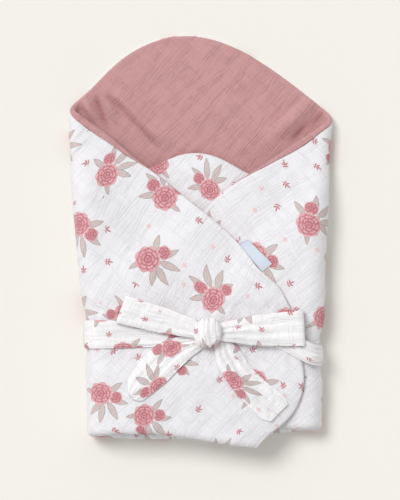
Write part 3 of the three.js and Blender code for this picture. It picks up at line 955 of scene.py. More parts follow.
@dataclass(frozen=True)
class Pleat:
    """A soft fold along a ribbon.

    Attributes:
        place: Where it lies across the ribbon, from -1 to 1, at the knot and at the far end.
        height: Its height at the knot and at the far end, negative for a trough.
        width: Its half width as a share of the ribbon's half width.
    """

    place: tuple[float, float]
    height: tuple[float, float]
    width: float

    def at(self, along: Array, across: Array) -> Array:
        """Return the fold's height at shares along the ribbon and places across it."""
        place = mix(self.place[0], self.place[1], along)
        height = mix(self.height[0], self.height[1], along)
        return height * bell(across - place, self.width)


# Ridges along the band: place across it from -1 to 1, height in millimetres, and phase of its wander.
BAND_RIDGES = ((-0.72, 1.1, 0.4), (-0.38, 1.5, 1.9), (-0.05, 1.0, 3.1), (0.3, 1.6, 4.4), (0.66, 1.2, 5.3))

# Folds over the knot: place along it from -1 to 1, depth in millimetres, and half width as a share.
KNOT_FOLDS = ((-0.56, -2.6, 0.075), (-0.1, -1.5, 0.06), (0.22, -2.1, 0.07), (0.66, -1.8, 0.06))


@dataclass(frozen=True)
class Turn:
    """The band's turn round a side fold, in millimetres.

    Attributes:
        sign: +1 on the right side and -1 on the left.
        centre: Place of its middle across the wrap.
        middle: Height of its middle.
        reach: How far out from there it goes.
    """

    sign: float
    centre: float
    middle: float
    reach: float


@dataclass
class Tie:
    """The tie round the waist: a flat tube of the printed cloth, knotted with a bow on the front.

    Attributes:
        sheet: The quilted sheet on which it lies.
        flat_width: Width of the flat tube.
        thick: Thickness of the tube lying flat.
        knot: Place of the knot's middle.
        knot_size: Half the knot's width, length and height.
        columns: Points across a ribbon.
        band_over: Height of the band's middle over the wrap.
        band_span: The same beside its turns round the side folds.
        band_slack: How far over its straight run the band goes at most.
        drawn_in: Share of the band's width that the knot takes.
        drawn_reach: How far from the knot it does so.
        loop_turn: Radius of a loop's turn at its far end.
        loop_over: Height of the loops over the wrap.
        loop_rise: How much higher they are at the knot.
        loop_crown: How far the upper run arches across.
        loop_sink: How far the lower run sinks at its far end.
        loop_settle: How far the upper run comes down at the knot.
        knot_over: Height of the knot's middle over the wrap.
    """

    sheet: QuiltedSheet
    flat_width: float = 50.0
    thick: float = 2.4
    knot: tuple[float, float] = (10.5, -121.5)
    knot_size: tuple[float, float, float] = (19.5, 20.0, 12.5)
    columns: int = 41
    band_over: float = 1.9
    band_span: float = 2.4
    band_slack: float = 4.0
    drawn_in: float = 0.34
    drawn_reach: float = 72.0
    loop_turn: float = 3.6
    loop_over: float = 4.2
    loop_rise: float = 1.4
    loop_crown: float = 3.0
    loop_sink: float = 2.5
    loop_settle: float = 3.0
    knot_over: float = 12.4

    @property
    def across(self) -> Array:
        """Return places across a ribbon from -1 to 1, closer together at its edges."""
        return np.sin(np.linspace(-math.pi / 2, math.pi / 2, self.columns))[None, :]

    def rest(self, x: Array, y: Array) -> Array:
        """Return the height on which cloth lies at points of the folded wrap."""
        plan = self.sheet.plan
        level = plan.heights(x, y)
        left = plan.unfold_side(LEFT_FOLD, x, y, 0.0, LEFT_FOLD.nominal, 0.0)
        on_flap = 1.0 - smooth(plan.clear - 3.0, plan.clear + 16.0, plan.edge_distance(*left))
        return mix(level["right_flap"], level["left_flap"], on_flap) + plan.thick / 2

    @staticmethod
    def softened(heights: Array, passes: int) -> Array:
        """Return a grid of heights eased along and across, as a cloth that spans small steps."""
        for _ in range(passes):
            padded = np.pad(heights, 1, mode="edge")
            beside = padded[:-2, 1:-1] + padded[2:, 1:-1] + padded[1:-1, :-2] + padded[1:-1, 2:]
            heights = np.maximum(heights - 0.4, 0.5 * heights + 0.125 * beside)
        return heights

    def edge_round(self) -> Array:
        """Return the share of full thickness at each place across, rounded off at the edges."""
        least, power = 0.12, 5.0
        return np.maximum(least, (1.0 - np.abs(self.across) ** power)) ** 0.5

    def laid_ribbon(
        self,
        name: str,
        stations: Sequence[Sequence[float]],
        rise: tuple[float, ...],
        pleats: Sequence[Pleat],
        tip: float,
    ) -> bpy.types.Object:
        """Build a free end of the tie, lying on the front of the wrap.

        Args:
            name: The piece's name.
            stations: Rows of x, y and the x and y from the middle to the edge, from the knot out.
            rise: Heights over the wrap at even steps from the knot to the far end.
            pleats: Its folds.
            tip: How round the far end is, from 0 for a straight cut to 1.

        Returns:
            The object.
        """
        rows = 130
        line = smooth_path(stations, rows)
        run = np.linspace(0.0, 1.0, rows)[:, None]
        across = self.across
        ends = np.clip((1.0 - run) / 0.10, 0.0, 1.0)
        narrow = np.sqrt(1.0 - (1.0 - ends) ** 2 * tip)
        x = line[:, 0:1] + line[:, 2:3] * across * narrow
        y = line[:, 1:2] + line[:, 3:4] * across * narrow
        lift = np.interp(run[:, 0], np.linspace(0, 1, len(rise)), rise)[:, None]
        folds = sum(pleat.at(run, across) for pleat in pleats)
        ripple = uneven(x, y, ((0.35, 17.0, len(name)), (0.25, 8.0, len(name) + 3)))
        base = self.softened(self.rest(x, y), 6)
        middle = base + lift + np.maximum(folds, -lift + 1.4) + ripple
        half = self.thick / 2 * self.edge_round() * np.sqrt(np.clip((1.004 - run) / 0.02, 0.03, 1.0))
        front = np.stack([x, y, middle + half], axis=-1)
        back = np.stack([x, y, middle - half], axis=-1)
        length = float(np.sum(np.hypot(*np.diff(line[:, :2], axis=0).T)))
        return shell_object(name, front, back, self.ribbon_uv(run * length), False)

    def ribbon_uv(self, run: Array) -> Array:
        """Return UV places in millimetres of a ribbon's grid, from the length along it at each row."""
        across = self.flat_width / 2 * self.across
        return np.stack([run + 0 * across, across + 0 * run], axis=-1)

    def loop_course(self, span: float) -> tuple[Array, Array, Array]:
        """Return the course of a loop, out from the knot and back.

        Args:
            span: Distance from the knot to the loop's far end.

        Returns:
            For each row of the loop its distance from the knot, its height and the angle turned.
        """
        turn = self.loop_turn
        runs, bends, hidden = 70, 16, 4.0
        low = np.linspace(hidden, span - turn, runs)
        bend = np.linspace(0.0, math.pi, bends + 2)[1:-1]
        distance = np.concatenate([low, span - turn + turn * np.sin(bend), low[::-1]])
        lift = np.concatenate([np.zeros(runs), turn * (1 - np.cos(bend)), np.full(runs, 2 * turn)])
        tilt = np.concatenate([np.zeros(runs), bend, np.full(runs, math.pi)])
        return distance, lift, tilt

    def loop(
        self,
        name: str,
        far: tuple[float, float],
        half_widths: tuple[float, float, float],
        edge: tuple[float, float],
        pleats: Sequence[Pleat],
    ) -> bpy.types.Object:
        """Build a loop of the bow: out from the knot low down, round its end and back on top.

        Args:
            name: The piece's name.
            far: Middle of its far end.
            half_widths: Half its width at the knot, half way and at the far end.
            edge: Direction across it at the far end.
            pleats: Its folds, on the upper run.

        Returns:
            The object.
        """
        knot = np.array(self.knot)
        reach = np.array(far) - knot
        span = float(np.hypot(*reach))
        heading = reach / span
        square = np.array([-heading[1], heading[0]])
        edge_way = np.array(edge) / math.hypot(*edge)
        if float(np.dot(square, edge_way)) < 0:
            square = -square
        distance, lift, tilt = self.loop_course(span)
        share = distance / span
        upper = (lift / (2 * self.loop_turn))[:, None]
        width = np.interp(share, (0.0, 0.16, 0.5, 1.0), (half_widths[0] * 0.72, *half_widths))
        way = unit(mix(square[None, :], edge_way[None, :], smooth(0.1, 1.0, share)[:, None]))
        across = self.across
        x = (knot[0] + heading[0] * distance)[:, None] + (way[:, 0] * width)[:, None] * across
        y = (knot[1] + heading[1] * distance)[:, None] + (way[:, 1] * width)[:, None] * across
        run = share[:, None]
        folds = sum(pleat.at(run, across) for pleat in pleats) * mix(-0.25, 1.0, upper)
        arch = (1 - across**2) * np.sin(np.pi * np.clip(run, 0, 1))
        crown = self.loop_crown * arch * mix(-0.1, 1.0, upper)
        rest = self.softened(self.rest(x, y), 8)
        on_band = self.loop_over + self.loop_rise * (1 - run)
        sink = self.loop_sink * smooth(0.75, 1.0, run) * (1 - upper)
        ripple = uneven(x, y, ((0.3, 15.0, len(name)), (0.2, 7.5, len(name) + 5)))
        settle = self.loop_settle * (1 - smooth(0.0, 0.28, run)) * upper
        middle = rest + on_band - sink + lift[:, None] + folds * 0.9 + crown - settle + ripple
        facing_z = np.cos(tilt)[:, None]
        facing_out = np.sin(tilt)[:, None]
        half = self.thick / 2 * self.edge_round()
        sides = []
        for sign in (1.0, -1.0):
            px = x + sign * half * facing_out * heading[0]
            py = y + sign * half * facing_out * heading[1]
            sides.append(np.stack([px, py, middle - sign * half * facing_z], axis=-1))
        length = np.concatenate([[0.0], np.cumsum(np.hypot(np.diff(distance), np.diff(lift)))])
        return shell_object(name, sides[0], sides[1], self.ribbon_uv(length[:, None]), False)

    def side_turn(self, turn: Turn, top: float, start: float, end: float) -> list[tuple[float, float]]:
        """Return places of x and z along the band's turn round a side fold.

        Args:
            turn: The turn.
            top: Height of the band on the front, beside the turn.
            start: Angle at which it starts, from 0 underneath.
            end: Angle at which it ends, to pi on top.

        Returns:
            Thirty places in order.
        """
        places = []
        for angle in np.linspace(start, end, 30):
            below = turn.middle - self.thick / 2 - FLOOR_GAP
            high = top - turn.middle if angle > math.pi / 2 else below
            across = turn.centre + turn.sign * turn.reach * math.sin(angle)
            places.append((across, turn.middle - high * math.cos(angle)))
        return places

    def turns(self) -> list[Turn]:
        """Return the band's turns round the right and the left side fold."""
        plan = self.sheet.plan
        loose = 0.6
        turns = []
        for fold in (RIGHT_FOLD, LEFT_FOLD):
            y = plan.band_y(np.array([fold.sign * plan.drop_to]))
            level = plan.heights(plan.line(fold, y), y)
            flap, back = (float(level[name][0]) for name in (fold.side.value + "_flap", "back"))
            radius = (flap - back) / 2
            reach = y + np.array([-plan.tie_half, 0.0, plan.tie_half])
            widest = float(np.max(fold.sign * plan.line(fold, reach)))
            centre = fold.sign * (widest - radius)
            far = radius + self.sheet.half + loose + self.thick / 2
            turns.append(Turn(fold.sign, centre, (flap + back) / 2, far))
        return turns

    def top_beside(self, turn: Turn) -> float:
        """Return the height of the band on the front, beside one of its turns."""
        half = self.sheet.plan.tie_half
        y = np.linspace(-half, half, 9) + float(self.sheet.plan.band_y(np.array(turn.centre)))
        return float(np.max(self.rest(np.full(9, turn.centre), y))) + self.band_span

    def band_path(self, right: Turn, left: Turn) -> tuple[Array, Array]:
        """Return the band's path once round the wrap.

        Args:
            right: Its turn round the right side fold.
            left: Its turn round the left one.

        Returns:
            Rows of x and z, and for each row how fully it lies over the front, from 0 to 1.
        """
        right_top, left_top = self.top_beside(right), self.top_beside(left)
        path = self.side_turn(right, right_top, 0.0, math.pi)
        front_start = len(path)
        for share in np.linspace(0, 1, 112)[1:-1]:
            path.append((mix(right.centre, left.centre, share), mix(right_top, left_top, share)))
        front_end = len(path)
        path += self.side_turn(left, left_top, math.pi, 0.0)
        for share in np.linspace(0, 1, 62)[1:-1]:
            path.append((mix(left.centre, right.centre, share), self.thick / 2 + FLOOR_GAP))
        front = np.zeros(len(path))
        front[front_start - 8 : front_end + 8] = 1.0
        kernel = np.hanning(13)
        return np.array(path), np.convolve(front, kernel / kernel.sum(), mode="same")[:, None]

    def band_ridges(self, x: Array, run: Array) -> Array:
        """Return the height of the ridges along the band: higher to the right and beside the knot.

        Args:
            x: Places across the wrap of the band's grid.
            run: Length along the band at each of its rows.

        Returns:
            The height at each point of the grid.
        """
        ridges = 0.0 * self.across
        for place, size, phase in BAND_RIDGES:
            wander = place + 0.09 * np.sin(run / 31.0 + phase)
            swell = 0.65 + 0.35 * np.sin(run / 47.0 + 2 * phase)
            ridges = ridges + size * swell * bell(self.across - wander, 0.13)
        right = smooth(self.knot[0], 165.0, x)
        near_knot = 1.0 - smooth(20.0, 120.0, np.abs(x - self.knot[0]))
        return ridges * mix(0.85, 1.3, right) * (1 + 0.4 * near_knot)

    def band(self) -> bpy.types.Object:
        """Build the band: flush under the back, round both side folds and over the front."""
        plan = self.sheet.plan
        right, left = self.turns()
        line, front_share = self.band_path(right, left)
        along = unit(np.roll(line, -1, axis=0) - np.roll(line, 1, axis=0))
        face_x, face_z = along[:, 1:2], -along[:, 0:1]
        x = line[:, 0:1] + 0 * self.across
        z = line[:, 1:2] + 0 * self.across
        narrower = 1.0 - self.drawn_in * bell(x - self.knot[0], self.drawn_reach)
        y = plan.band_y(x) + plan.band_half(x) * narrower * self.across
        draped = self.softened(self.rest(x, y), 6) + self.band_over
        draped = np.minimum(draped, z + self.band_slack)
        inside = smooth(0.0, 22.0, np.minimum(right.centre - x, x - left.centre))
        z = np.where(front_share > 0, mix(z, draped, inside * front_share), z)
        run = np.concatenate([[0.0], np.cumsum(np.hypot(*np.diff(line, axis=0).T))])[:, None]
        upright = np.maximum(front_share, smooth(4.0, 14.0, z))
        half = self.thick / 2 * self.edge_round()
        out = self.band_ridges(x, run) * upright + half
        front = np.stack([x + face_x * out, y, z + face_z * out], axis=-1)
        back = np.stack([x - face_x * half, y, z - face_z * half], axis=-1)
        return shell_object("tie_band", front, back, self.ribbon_uv(run), True)

    @staticmethod
    def knot_pleats(place: Array, around: Array) -> Array:
        """Return the height of the pleats over the knot's top.

        Args:
            place: Places along the knot from -1 to 1.
            around: Angles round it.

        Returns:
            The height in millimetres at each point of the knot's grid.
        """
        skew = place + 0.16 * np.cos(around)
        pleats = 0.0 * skew * around
        for spot, depth, width in KNOT_FOLDS:
            side = skew - spot - 0.05 * np.sin(3 * around)
            steep = bell(side, width) + 0.45 * bell(side - 2 * width, 2.2 * width)
            pleats = pleats + depth * steep + 0.9 * bell(side + 2.6 * width, 2.4 * width)
        soft = 0.5 * waves(12 * place + 0 * around, 14 * around + 0 * place, 11.0, 77)
        return pleats * smooth(-0.35, 0.25, np.sin(around)) + soft

    def knot_lump(self) -> bpy.types.Object:
        """Build the knot: the ribbon wrapped over the crossing, with pleats over its top."""
        rows, columns = 96, 64
        around = np.linspace(0.0, 2 * math.pi, rows, endpoint=False)[:, None]
        place = np.linspace(-1.0, 1.0, columns)[None, :]
        size_x, size_y, size_z = self.knot_size
        swell = np.maximum(0.0, 1.0 - np.abs(place) ** 2.8) ** 0.5
        ring_y, ring_z = np.cos(around), np.sin(around)
        boxy = (np.abs(ring_y) ** 2.6 + np.abs(ring_z) ** 2.6) ** (-1 / 2.6)
        radius = 1.0 + self.knot_pleats(place, around) / size_y
        x = self.knot[0] + size_x * (place * (0.93 + 0.07 * ring_z) + 0.05 * ring_y * (1 - place**2))
        y = self.knot[1] + size_y * ring_y * boxy * radius * swell
        beside = self.knot[0] + np.array([-15.0, 15.0])
        rest = float(np.max(self.rest(beside, np.full(2, self.knot[1]))))
        z = rest + self.knot_over + size_z * ring_z * boxy * radius * swell
        points = (np.stack([x, y, z], axis=-1) + PLACE).reshape(-1, 3)
        faces: list[tuple[int, ...]] = []
        for i in range(rows):
            after = (i + 1) % rows
            for j in range(columns - 1):
                a, b = i * columns + j, after * columns + j
                faces.append((a, a + 1, b + 1, b))
        uv = np.stack([around * 16.0 + 0 * place, place * 24.0 + 0 * around], axis=-1)
        uv = (uv.reshape(-1, 2) + np.array([75.0, 52.0])) * MM
        return mesh_object("tie_knot", points, faces, uv)


@dataclass
class SideTab:
    """A small plain tab of satin, sewn in along the upper flap's edge.

    Attributes:
        tie: The tie, which knows the height of the wrap's front.
        corners: Columns and rows of the photograph: along the edge, then back along the free side.
        size: Its length and width in millimetres.
        thick: Its thickness in millimetres.
    """

    tie: Tie
    corners: tuple[tuple[float, float], ...] = (
        (239.0, 244.6),
        (262.0, 271.6),
        (272.0, 263.6),
        (247.8, 239.6),
    )
    size: tuple[float, float] = (47.5, 17.0)
    thick: float = 0.8

    def build(self) -> bpy.types.Object:
        """Build the tab, lying on the flap beneath and curling up a little at its free side."""
        first, second, third, fourth = (np.array(from_photo(*corner)) for corner in self.corners)
        run = np.linspace(0.0, 1.0, 36)[:, None, None]
        out = np.linspace(0.0, 1.0, 16)[None, :, None]
        place = mix(mix(first, second, run), mix(fourth, third, run), out)
        x, y = place[..., 0], place[..., 1]
        curl = 0.9 * out[..., 0] ** 2 + 0.3 * np.sin(3.4 * run[..., 0] + 2.0 * out[..., 0])
        plan = self.tie.sheet.plan
        middle = plan.heights(x, y)["right_flap"] + plan.thick / 2 + curl + 2.4 - 1.0 * out[..., 0]
        half = self.thick / 2 * (1.0 - 0.5 * np.abs(2 * out[..., 0] - 1) ** 8)
        front = np.stack([x, y, middle + half], axis=-1)
        back = np.stack([x, y, middle - half], axis=-1)
        uv = np.concatenate([self.size[0] * run + 0 * out, self.size[1] * out + 0 * run], axis=-1)
        return shell_object("side_tab", front, back, uv, False)


def linear(code: str) -> tuple[float, float, float, float]:
    """Turn an sRGB hex colour into the linear colour that a shader takes."""
    parts = [int(code[i : i + 2], 16) / 255 for i in (1, 3, 5)]
    red, green, blue = (c / 12.92 if c <= 0.04045 else ((c + 0.055) / 1.055) ** 2.4 for c in parts)
    return red, green, blue, 1.0


class NodeInk:
    """Draws with shader nodes: short names for the sums from which a pattern is built."""

    def __init__(self, tree: bpy.types.NodeTree) -> None:
        """Keep the tree in which the nodes go."""
        self.tree = tree

    def add(self, kind: str, inputs: dict | None = None, **settings: object) -> bpy.types.Node:
        """Add a node with its settings and links.

        Args:
            kind: The node's type.
            inputs: Values or sockets for its inputs, by name or number.
            settings: Its own settings.

        Returns:
            The node.
        """
        made = self.tree.nodes.new(kind)
        for name, value in settings.items():
            setattr(made, name, value)
        for name, value in (inputs or {}).items():
            if isinstance(value, bpy.types.NodeSocket):
                self.tree.links.new(value, made.inputs[name])
            else:
                made.inputs[name].default_value = value
        return made

    def sum(self, kind: str, *values: object, clamp: bool = False) -> bpy.types.NodeSocket:
        """Return the result of a Math node on up to three values."""
        inputs = dict(enumerate(values))
        return self.add("ShaderNodeMath", inputs, operation=kind, use_clamp=clamp).outputs[0]

    def vector(self, kind: str, *values: object) -> bpy.types.NodeSocket:
        """Return the vector result of a Vector Math node."""
        return self.add("ShaderNodeVectorMath", dict(enumerate(values)), operation=kind).outputs["Vector"]

    def times(self, vector: object, scale: float) -> bpy.types.NodeSocket:
        """Return a vector made longer or shorter."""
        return self.add("ShaderNodeVectorMath", {0: vector, "Scale": scale}, operation="SCALE").outputs[0]

    def length(self, x: object, y: object) -> bpy.types.NodeSocket:
        """Return the distance of a place from the middle."""
        return self.sum("SQRT", self.sum("MULTIPLY_ADD", x, x, self.sum("MULTIPLY", y, y)))

    def fade(
        self, value: object, start: float, end: float, low: float = 0.0, high: float = 1.0
    ) -> bpy.types.NodeSocket:
        """Return a soft step of a value: low up to start, high from end on."""
        inputs = {"Value": value, "From Min": start, "From Max": end, "To Min": low, "To Max": high}
        made = self.add("ShaderNodeMapRange", inputs, interpolation_type="SMOOTHSTEP", clamp=True)
        return made.outputs["Result"]

    def paint(self, under: object, over: object, share: object) -> bpy.types.NodeSocket:
        """Return one colour laid over another at a share."""
        made = self.add("ShaderNodeMix", {0: share, 6: under, 7: over}, data_type="RGBA")
        return made.outputs[2]

    def noise(
        self, place: object, scale: float, detail: float = 2.0, rough: float = 0.5
    ) -> bpy.types.NodeSocket:
        """Return noise from 0 to 1 at a place."""
        inputs = {"Vector": place, "Scale": scale, "Detail": detail, "Roughness": rough}
        return self.add("ShaderNodeTexNoise", inputs).outputs[0]

    def turned(self, place: object, angle: object) -> bpy.types.NodeSocket:
        """Return a place turned about the middle by an angle in radians."""
        inputs = {"Vector": place, "Angle": angle}
        return self.add("ShaderNodeVectorRotate", inputs, rotation_type="Z_AXIS").outputs[0]

    def scaled(self, place: object, across: float, along: float, turn: float) -> bpy.types.NodeSocket:
        """Return a place turned by degrees, and then stretched so that a unit is a length each way."""
        way = self.turned(place, math.radians(turn))
        return self.vector("MULTIPLY", way, (1.0 / across, 1.0 / along, 1.0))

    def finish(self, height: object, look: dict[str, object]) -> None:
        """Finish a material from its height in metres and the settings of its shader."""
        bump = self.add("ShaderNodeBump", {"Strength": 1.0, "Distance": 1.0, "Height": height})
        shader = self.add("ShaderNodeBsdfPrincipled", {**look, "Normal": bump.outputs[0]})
        self.add("ShaderNodeOutputMaterial", {"Surface": shader.outputs[0]})


def begin_cloth(name: str) -> tuple[bpy.types.Material, NodeInk, bpy.types.NodeSocket]:
    """Start the material of a cloth.

    Args:
        name: Its name.

    Returns:
        The material, the ink for its empty tree, and the cloth's own place in metres.
    """
    material = bpy.data.materials.new(name)
    material.use_nodes = True
    material.node_tree.nodes.clear()
    ink = NodeInk(material.node_tree)
    return material, ink, ink.add("ShaderNodeUVMap", uv_map="cloth").outputs[0]


@dataclass(frozen=True)
class Muslin:
    """Double gauze cotton muslin: two loose layers that pucker into long, thin crinkles.

    Its loose threads give the eye a soft, matt, slightly fuzzy face with no gloss at all, and the
    crinkles run along the threads both ways.

    Attributes:
        name: Name of the material.
        cloth: Colour of the lit cloth.
        valley: Painted shade colour in the crinkles.
        crinkle_mm: Distance between crinkles.
        depth_mm: Their depth.
        cross: Share of the crinkles that run across the main ones.
        thread_mm: Distance between threads; about twice the real one, so that it shows.
        sheen: Fuzz on the surface.
        valley_share: Share of the lit colour that stays in the crinkles under the painted shade.
        narrow: Power of a crinkle's outline: 1 for a round top, more for a narrow one.
    """

    name: str
    cloth: str
    valley: str
    crinkle_mm: float
    depth_mm: float
    cross: float = 0.6
    thread_mm: float = 1.5
    sheen: float = 0.25
    valley_share: float = 0.6
    narrow: float = 1.0

    def look(self, colour: object) -> dict[str, object]:
        """Return the settings of the shader for a colour of the cloth."""
        return {
            "Base Color": colour,
            "Roughness": 0.93,
            "IOR": 1.45,
            "Specular IOR Level": 0.2,
            "Sheen Weight": self.sheen,
            "Sheen Roughness": 0.5,
        }

    def ripples(self, ink: NodeInk, place: object, pitch_mm: float, turn: float) -> object:
        """Return long, wandering ripples in one direction: round on top, sharp between.

        Args:
            ink: Where the nodes go.
            place: The cloth's own place, in metres.
            pitch_mm: Distance between ripples.
            turn: Their direction in degrees.

        Returns:
            Their height from 0 to 1; they come and go along the cloth.
        """
        slow = ink.noise(ink.scaled(place, 0.016, 0.095, turn), 1.0, 3.0, 0.6)
        line = ink.add("ShaderNodeSeparateXYZ", {0: ink.scaled(place, pitch_mm * MM, 1.0, turn)}).outputs[0]
        phase = ink.sum("MULTIPLY_ADD", slow, 7.0, line)
        wave = ink.sum("ABSOLUTE", ink.sum("SINE", ink.sum("MULTIPLY", phase, math.pi)))
        wave = ink.sum("POWER", wave, self.narrow)
        patches = ink.noise(ink.scaled(place, 0.010, 0.060, turn), 1.0, 3.0)
        shown = ink.fade(patches, 0.36, 0.62, 0.12, 1.0)
        return ink.sum("MULTIPLY_ADD", ink.sum("SUBTRACT", wave, 1.0), shown, 1.0)

    def crinkles(self, ink: NodeInk, place: bpy.types.NodeSocket) -> bpy.types.NodeSocket:
        """Return the height of the crinkles, from 0 in a valley to 1."""
        main = self.ripples(ink, place, self.crinkle_mm, 0.0)
        finer = self.ripples(ink, place, self.crinkle_mm * 0.57, 4.0)
        crossing = self.ripples(ink, place, self.crinkle_mm * 0.85, 90.0)
        both = ink.sum("MULTIPLY_ADD", finer, 0.35, ink.sum("MULTIPLY", main, 0.65))
        return ink.sum("MULTIPLY_ADD", ink.sum("SUBTRACT", crossing, 1.0), self.cross, both, clamp=True)

    def heights(self, ink: NodeInk, place: bpy.types.NodeSocket) -> tuple[object, object]:
        """Return the height of the cloth in metres, and the crinkles' own height from 0 to 1."""
        thread_depth, swell_depth, swell_size = 0.10 * MM, 1.1 * MM, 22 * MM
        crinkle = self.crinkles(ink, place)
        thread = ink.noise(place, 1 / (self.thread_mm * MM), 1.0)
        total = ink.sum("MULTIPLY", crinkle, self.depth_mm * MM)
        total = ink.sum("MULTIPLY_ADD", thread, thread_depth, total)
        total = ink.sum("MULTIPLY_ADD", ink.noise(place, 1 / swell_size), swell_depth, total)
        return total, crinkle

    def plain(self) -> bpy.types.Material:
        """Build the muslin in one colour, with painted shade in the crinkles and down in the creases."""
        material, ink, place = begin_cloth(self.name)
        height, crinkle = self.heights(ink, place)
        # Painted shade in the crinkle valleys, times a faint random blotch of the cloth's own tone.
        shade_and_blotch = ink.fade(crinkle, 0.0, 0.9, self.valley_share, 1.0)
        blotch = ink.noise(place, 1 / 0.06, 3.0)
        shade_and_blotch = ink.sum("MULTIPLY", shade_and_blotch, ink.fade(blotch, 0.2, 0.8, 0.95, 1.02))
        # Painted shade in the creases, read from the lining's stored attribute.
        painted_crease_shade = ink.add("ShaderNodeAttribute", attribute_name="painted_crease_shade").outputs["Fac"]
        shade_and_blotch = ink.sum("MULTIPLY_ADD", ink.sum("MULTIPLY", painted_crease_shade, -1.0), shade_and_blotch, shade_and_blotch)
        colour = ink.paint(linear(self.valley), linear(self.cloth), shade_and_blotch)
        ink.finish(height, self.look(colour))
        return material


@dataclass(frozen=True)
class Leaf:
    """A long leaf of the print, in millimetres from the middle of its motif.

    Attributes:
        root: Where it starts.
        length: Its length.
        width: Half its width.
        turn: Its direction in degrees.
    """

    root: tuple[float, float]
    length: float
    width: float
    turn: float

    def shape(self, ink: NodeInk, x: object, y: object) -> tuple[object, object]:
        """Measure places against the leaf.

        Args:
            ink: Where the nodes go.
            x: Place across the motif in millimetres.
            y: Place up the motif.

        Returns:
            The distance inside its edge, negative outside, and the place across it.
        """
        cos, sin = math.cos(math.radians(self.turn)), math.sin(math.radians(self.turn))
        dx, dy = ink.sum("SUBTRACT", x, self.root[0]), ink.sum("SUBTRACT", y, self.root[1])
        along = ink.sum("MULTIPLY_ADD", dy, sin, ink.sum("MULTIPLY", dx, cos))
        across = ink.sum("MULTIPLY_ADD", dy, cos, ink.sum("MULTIPLY", dx, -sin))
        share = ink.sum("MULTIPLY_ADD", along, 2 / self.length, -1.0)
        lens = ink.sum("SUBTRACT", 1.0, ink.sum("MULTIPLY", share, share))
        fuller = ink.sum("MULTIPLY_ADD", share, -0.25 * self.width, self.width)
        edge = ink.sum("MULTIPLY", ink.sum("POWER", ink.sum("MAXIMUM", lens, 0.0), 0.8), fuller)
        inside = ink.sum("SUBTRACT", edge, ink.sum("ABSOLUTE", across))
        return ink.sum("MINIMUM", inside, ink.sum("MULTIPLY", lens, self.length / 4)), across


@dataclass(frozen=True)
class Rosette:
    """A ruffled flower of the print, in millimetres from the middle of its motif.

    Attributes:
        centre: Its middle.
        radius: Its radius.
        rings: Each ring of petals: its share of the radius, its petals and its turn.
    """

    centre: tuple[float, float]
    radius: float
    rings: tuple[tuple[float, int, float], ...]

    def shape(self, ink: NodeInk, x: object, y: object) -> tuple[object, object]:
        """Measure places against the flower.

        Args:
            ink: Where the nodes go.
            x: Place across the motif in millimetres.
            y: Place up the motif.

        Returns:
            The distance inside its edge, negative outside, and the light on its petals from 0 to 1.
        """
        dx, dy = ink.sum("SUBTRACT", x, self.centre[0]), ink.sum("SUBTRACT", y, self.centre[1])
        far = ink.length(dx, dy)
        angle = ink.sum("ARCTAN2", dy, dx)
        outline: object = -99.0
        light: object = 0.5
        for share, petals, turn in self.rings:
            size = share * self.radius
            wave = ink.sum("MULTIPLY_ADD", angle, petals / 2, turn)
            petal = ink.sum("ABSOLUTE", ink.sum("COSINE", wave))
            scallop = ink.sum("MULTIPLY_ADD", ink.sum("POWER", petal, 0.6), 0.16 * size, 0.84 * size)
            inside = ink.sum("SUBTRACT", scallop, far)
            bright = ink.fade(inside, 0.0, 0.55 * size, 0.92, 0.30)
            bright = ink.sum("SUBTRACT", bright, ink.fade(petal, 0.0, 0.55, 0.55, 0.0))
            bright = ink.sum("ADD", bright, ink.fade(inside, 0.0, 0.9, -0.28, 0.0), clamp=True)
            shadow = ink.fade(inside, -2.4, 0.0, 0.0, 0.42)
            light = ink.sum("SUBTRACT", light, shadow, clamp=True)
            on = ink.fade(inside, -0.25, 0.25)
            light = ink.sum("MULTIPLY_ADD", ink.sum("SUBTRACT", bright, light), on, light)
            outline = ink.sum("MAXIMUM", inside, outline)
        return outline, light


BOUQUET_LEAVES = (
    Leaf((-6, 4), 22, 4.0, 158),
    Leaf((10, -4), 21, 3.8, -8),
    Leaf((-4, 6), 27, 4.2, 122),
    Leaf((9, 9), 20, 3.6, 38),
    Leaf((2, 7), 28, 4.4, 86),
    Leaf((-8, -14), 15, 3.0, 214),
)
SPRIG_LEAVES = (
    Leaf((0, -0.5), 6.6, 1.05, 90),
    Leaf((0, -1.2), 5.6, 1.0, 32),
    Leaf((0, -1.2), 5.6, 1.0, 148),
    Leaf((0, -3.2), 4.4, 0.9, 10),
    Leaf((0, -3.2), 4.4, 0.9, 170),
    Leaf((0, -6.4), 7.4, 0.42, 90),
)
SMALL_RINGS = ((1.0, 6, 0.8), (0.62, 5, 0.1), (0.30, 3, 1.3))
FULL_RINGS = ((1.0, 8, 0.3), (0.72, 7, 1.2), (0.46, 5, 0.4), (0.22, 3, 0.9))
BESIDE_FLOWER = Rosette((14.0, 7.0), 8.6, SMALL_RINGS)
MIDDLE_FLOWER = Rosette((-1.0, -7.0), 15.5, FULL_RINGS)
EXTRA_FLOWER = Rosette((-17.0, 5.0), 7.0, SMALL_RINGS)


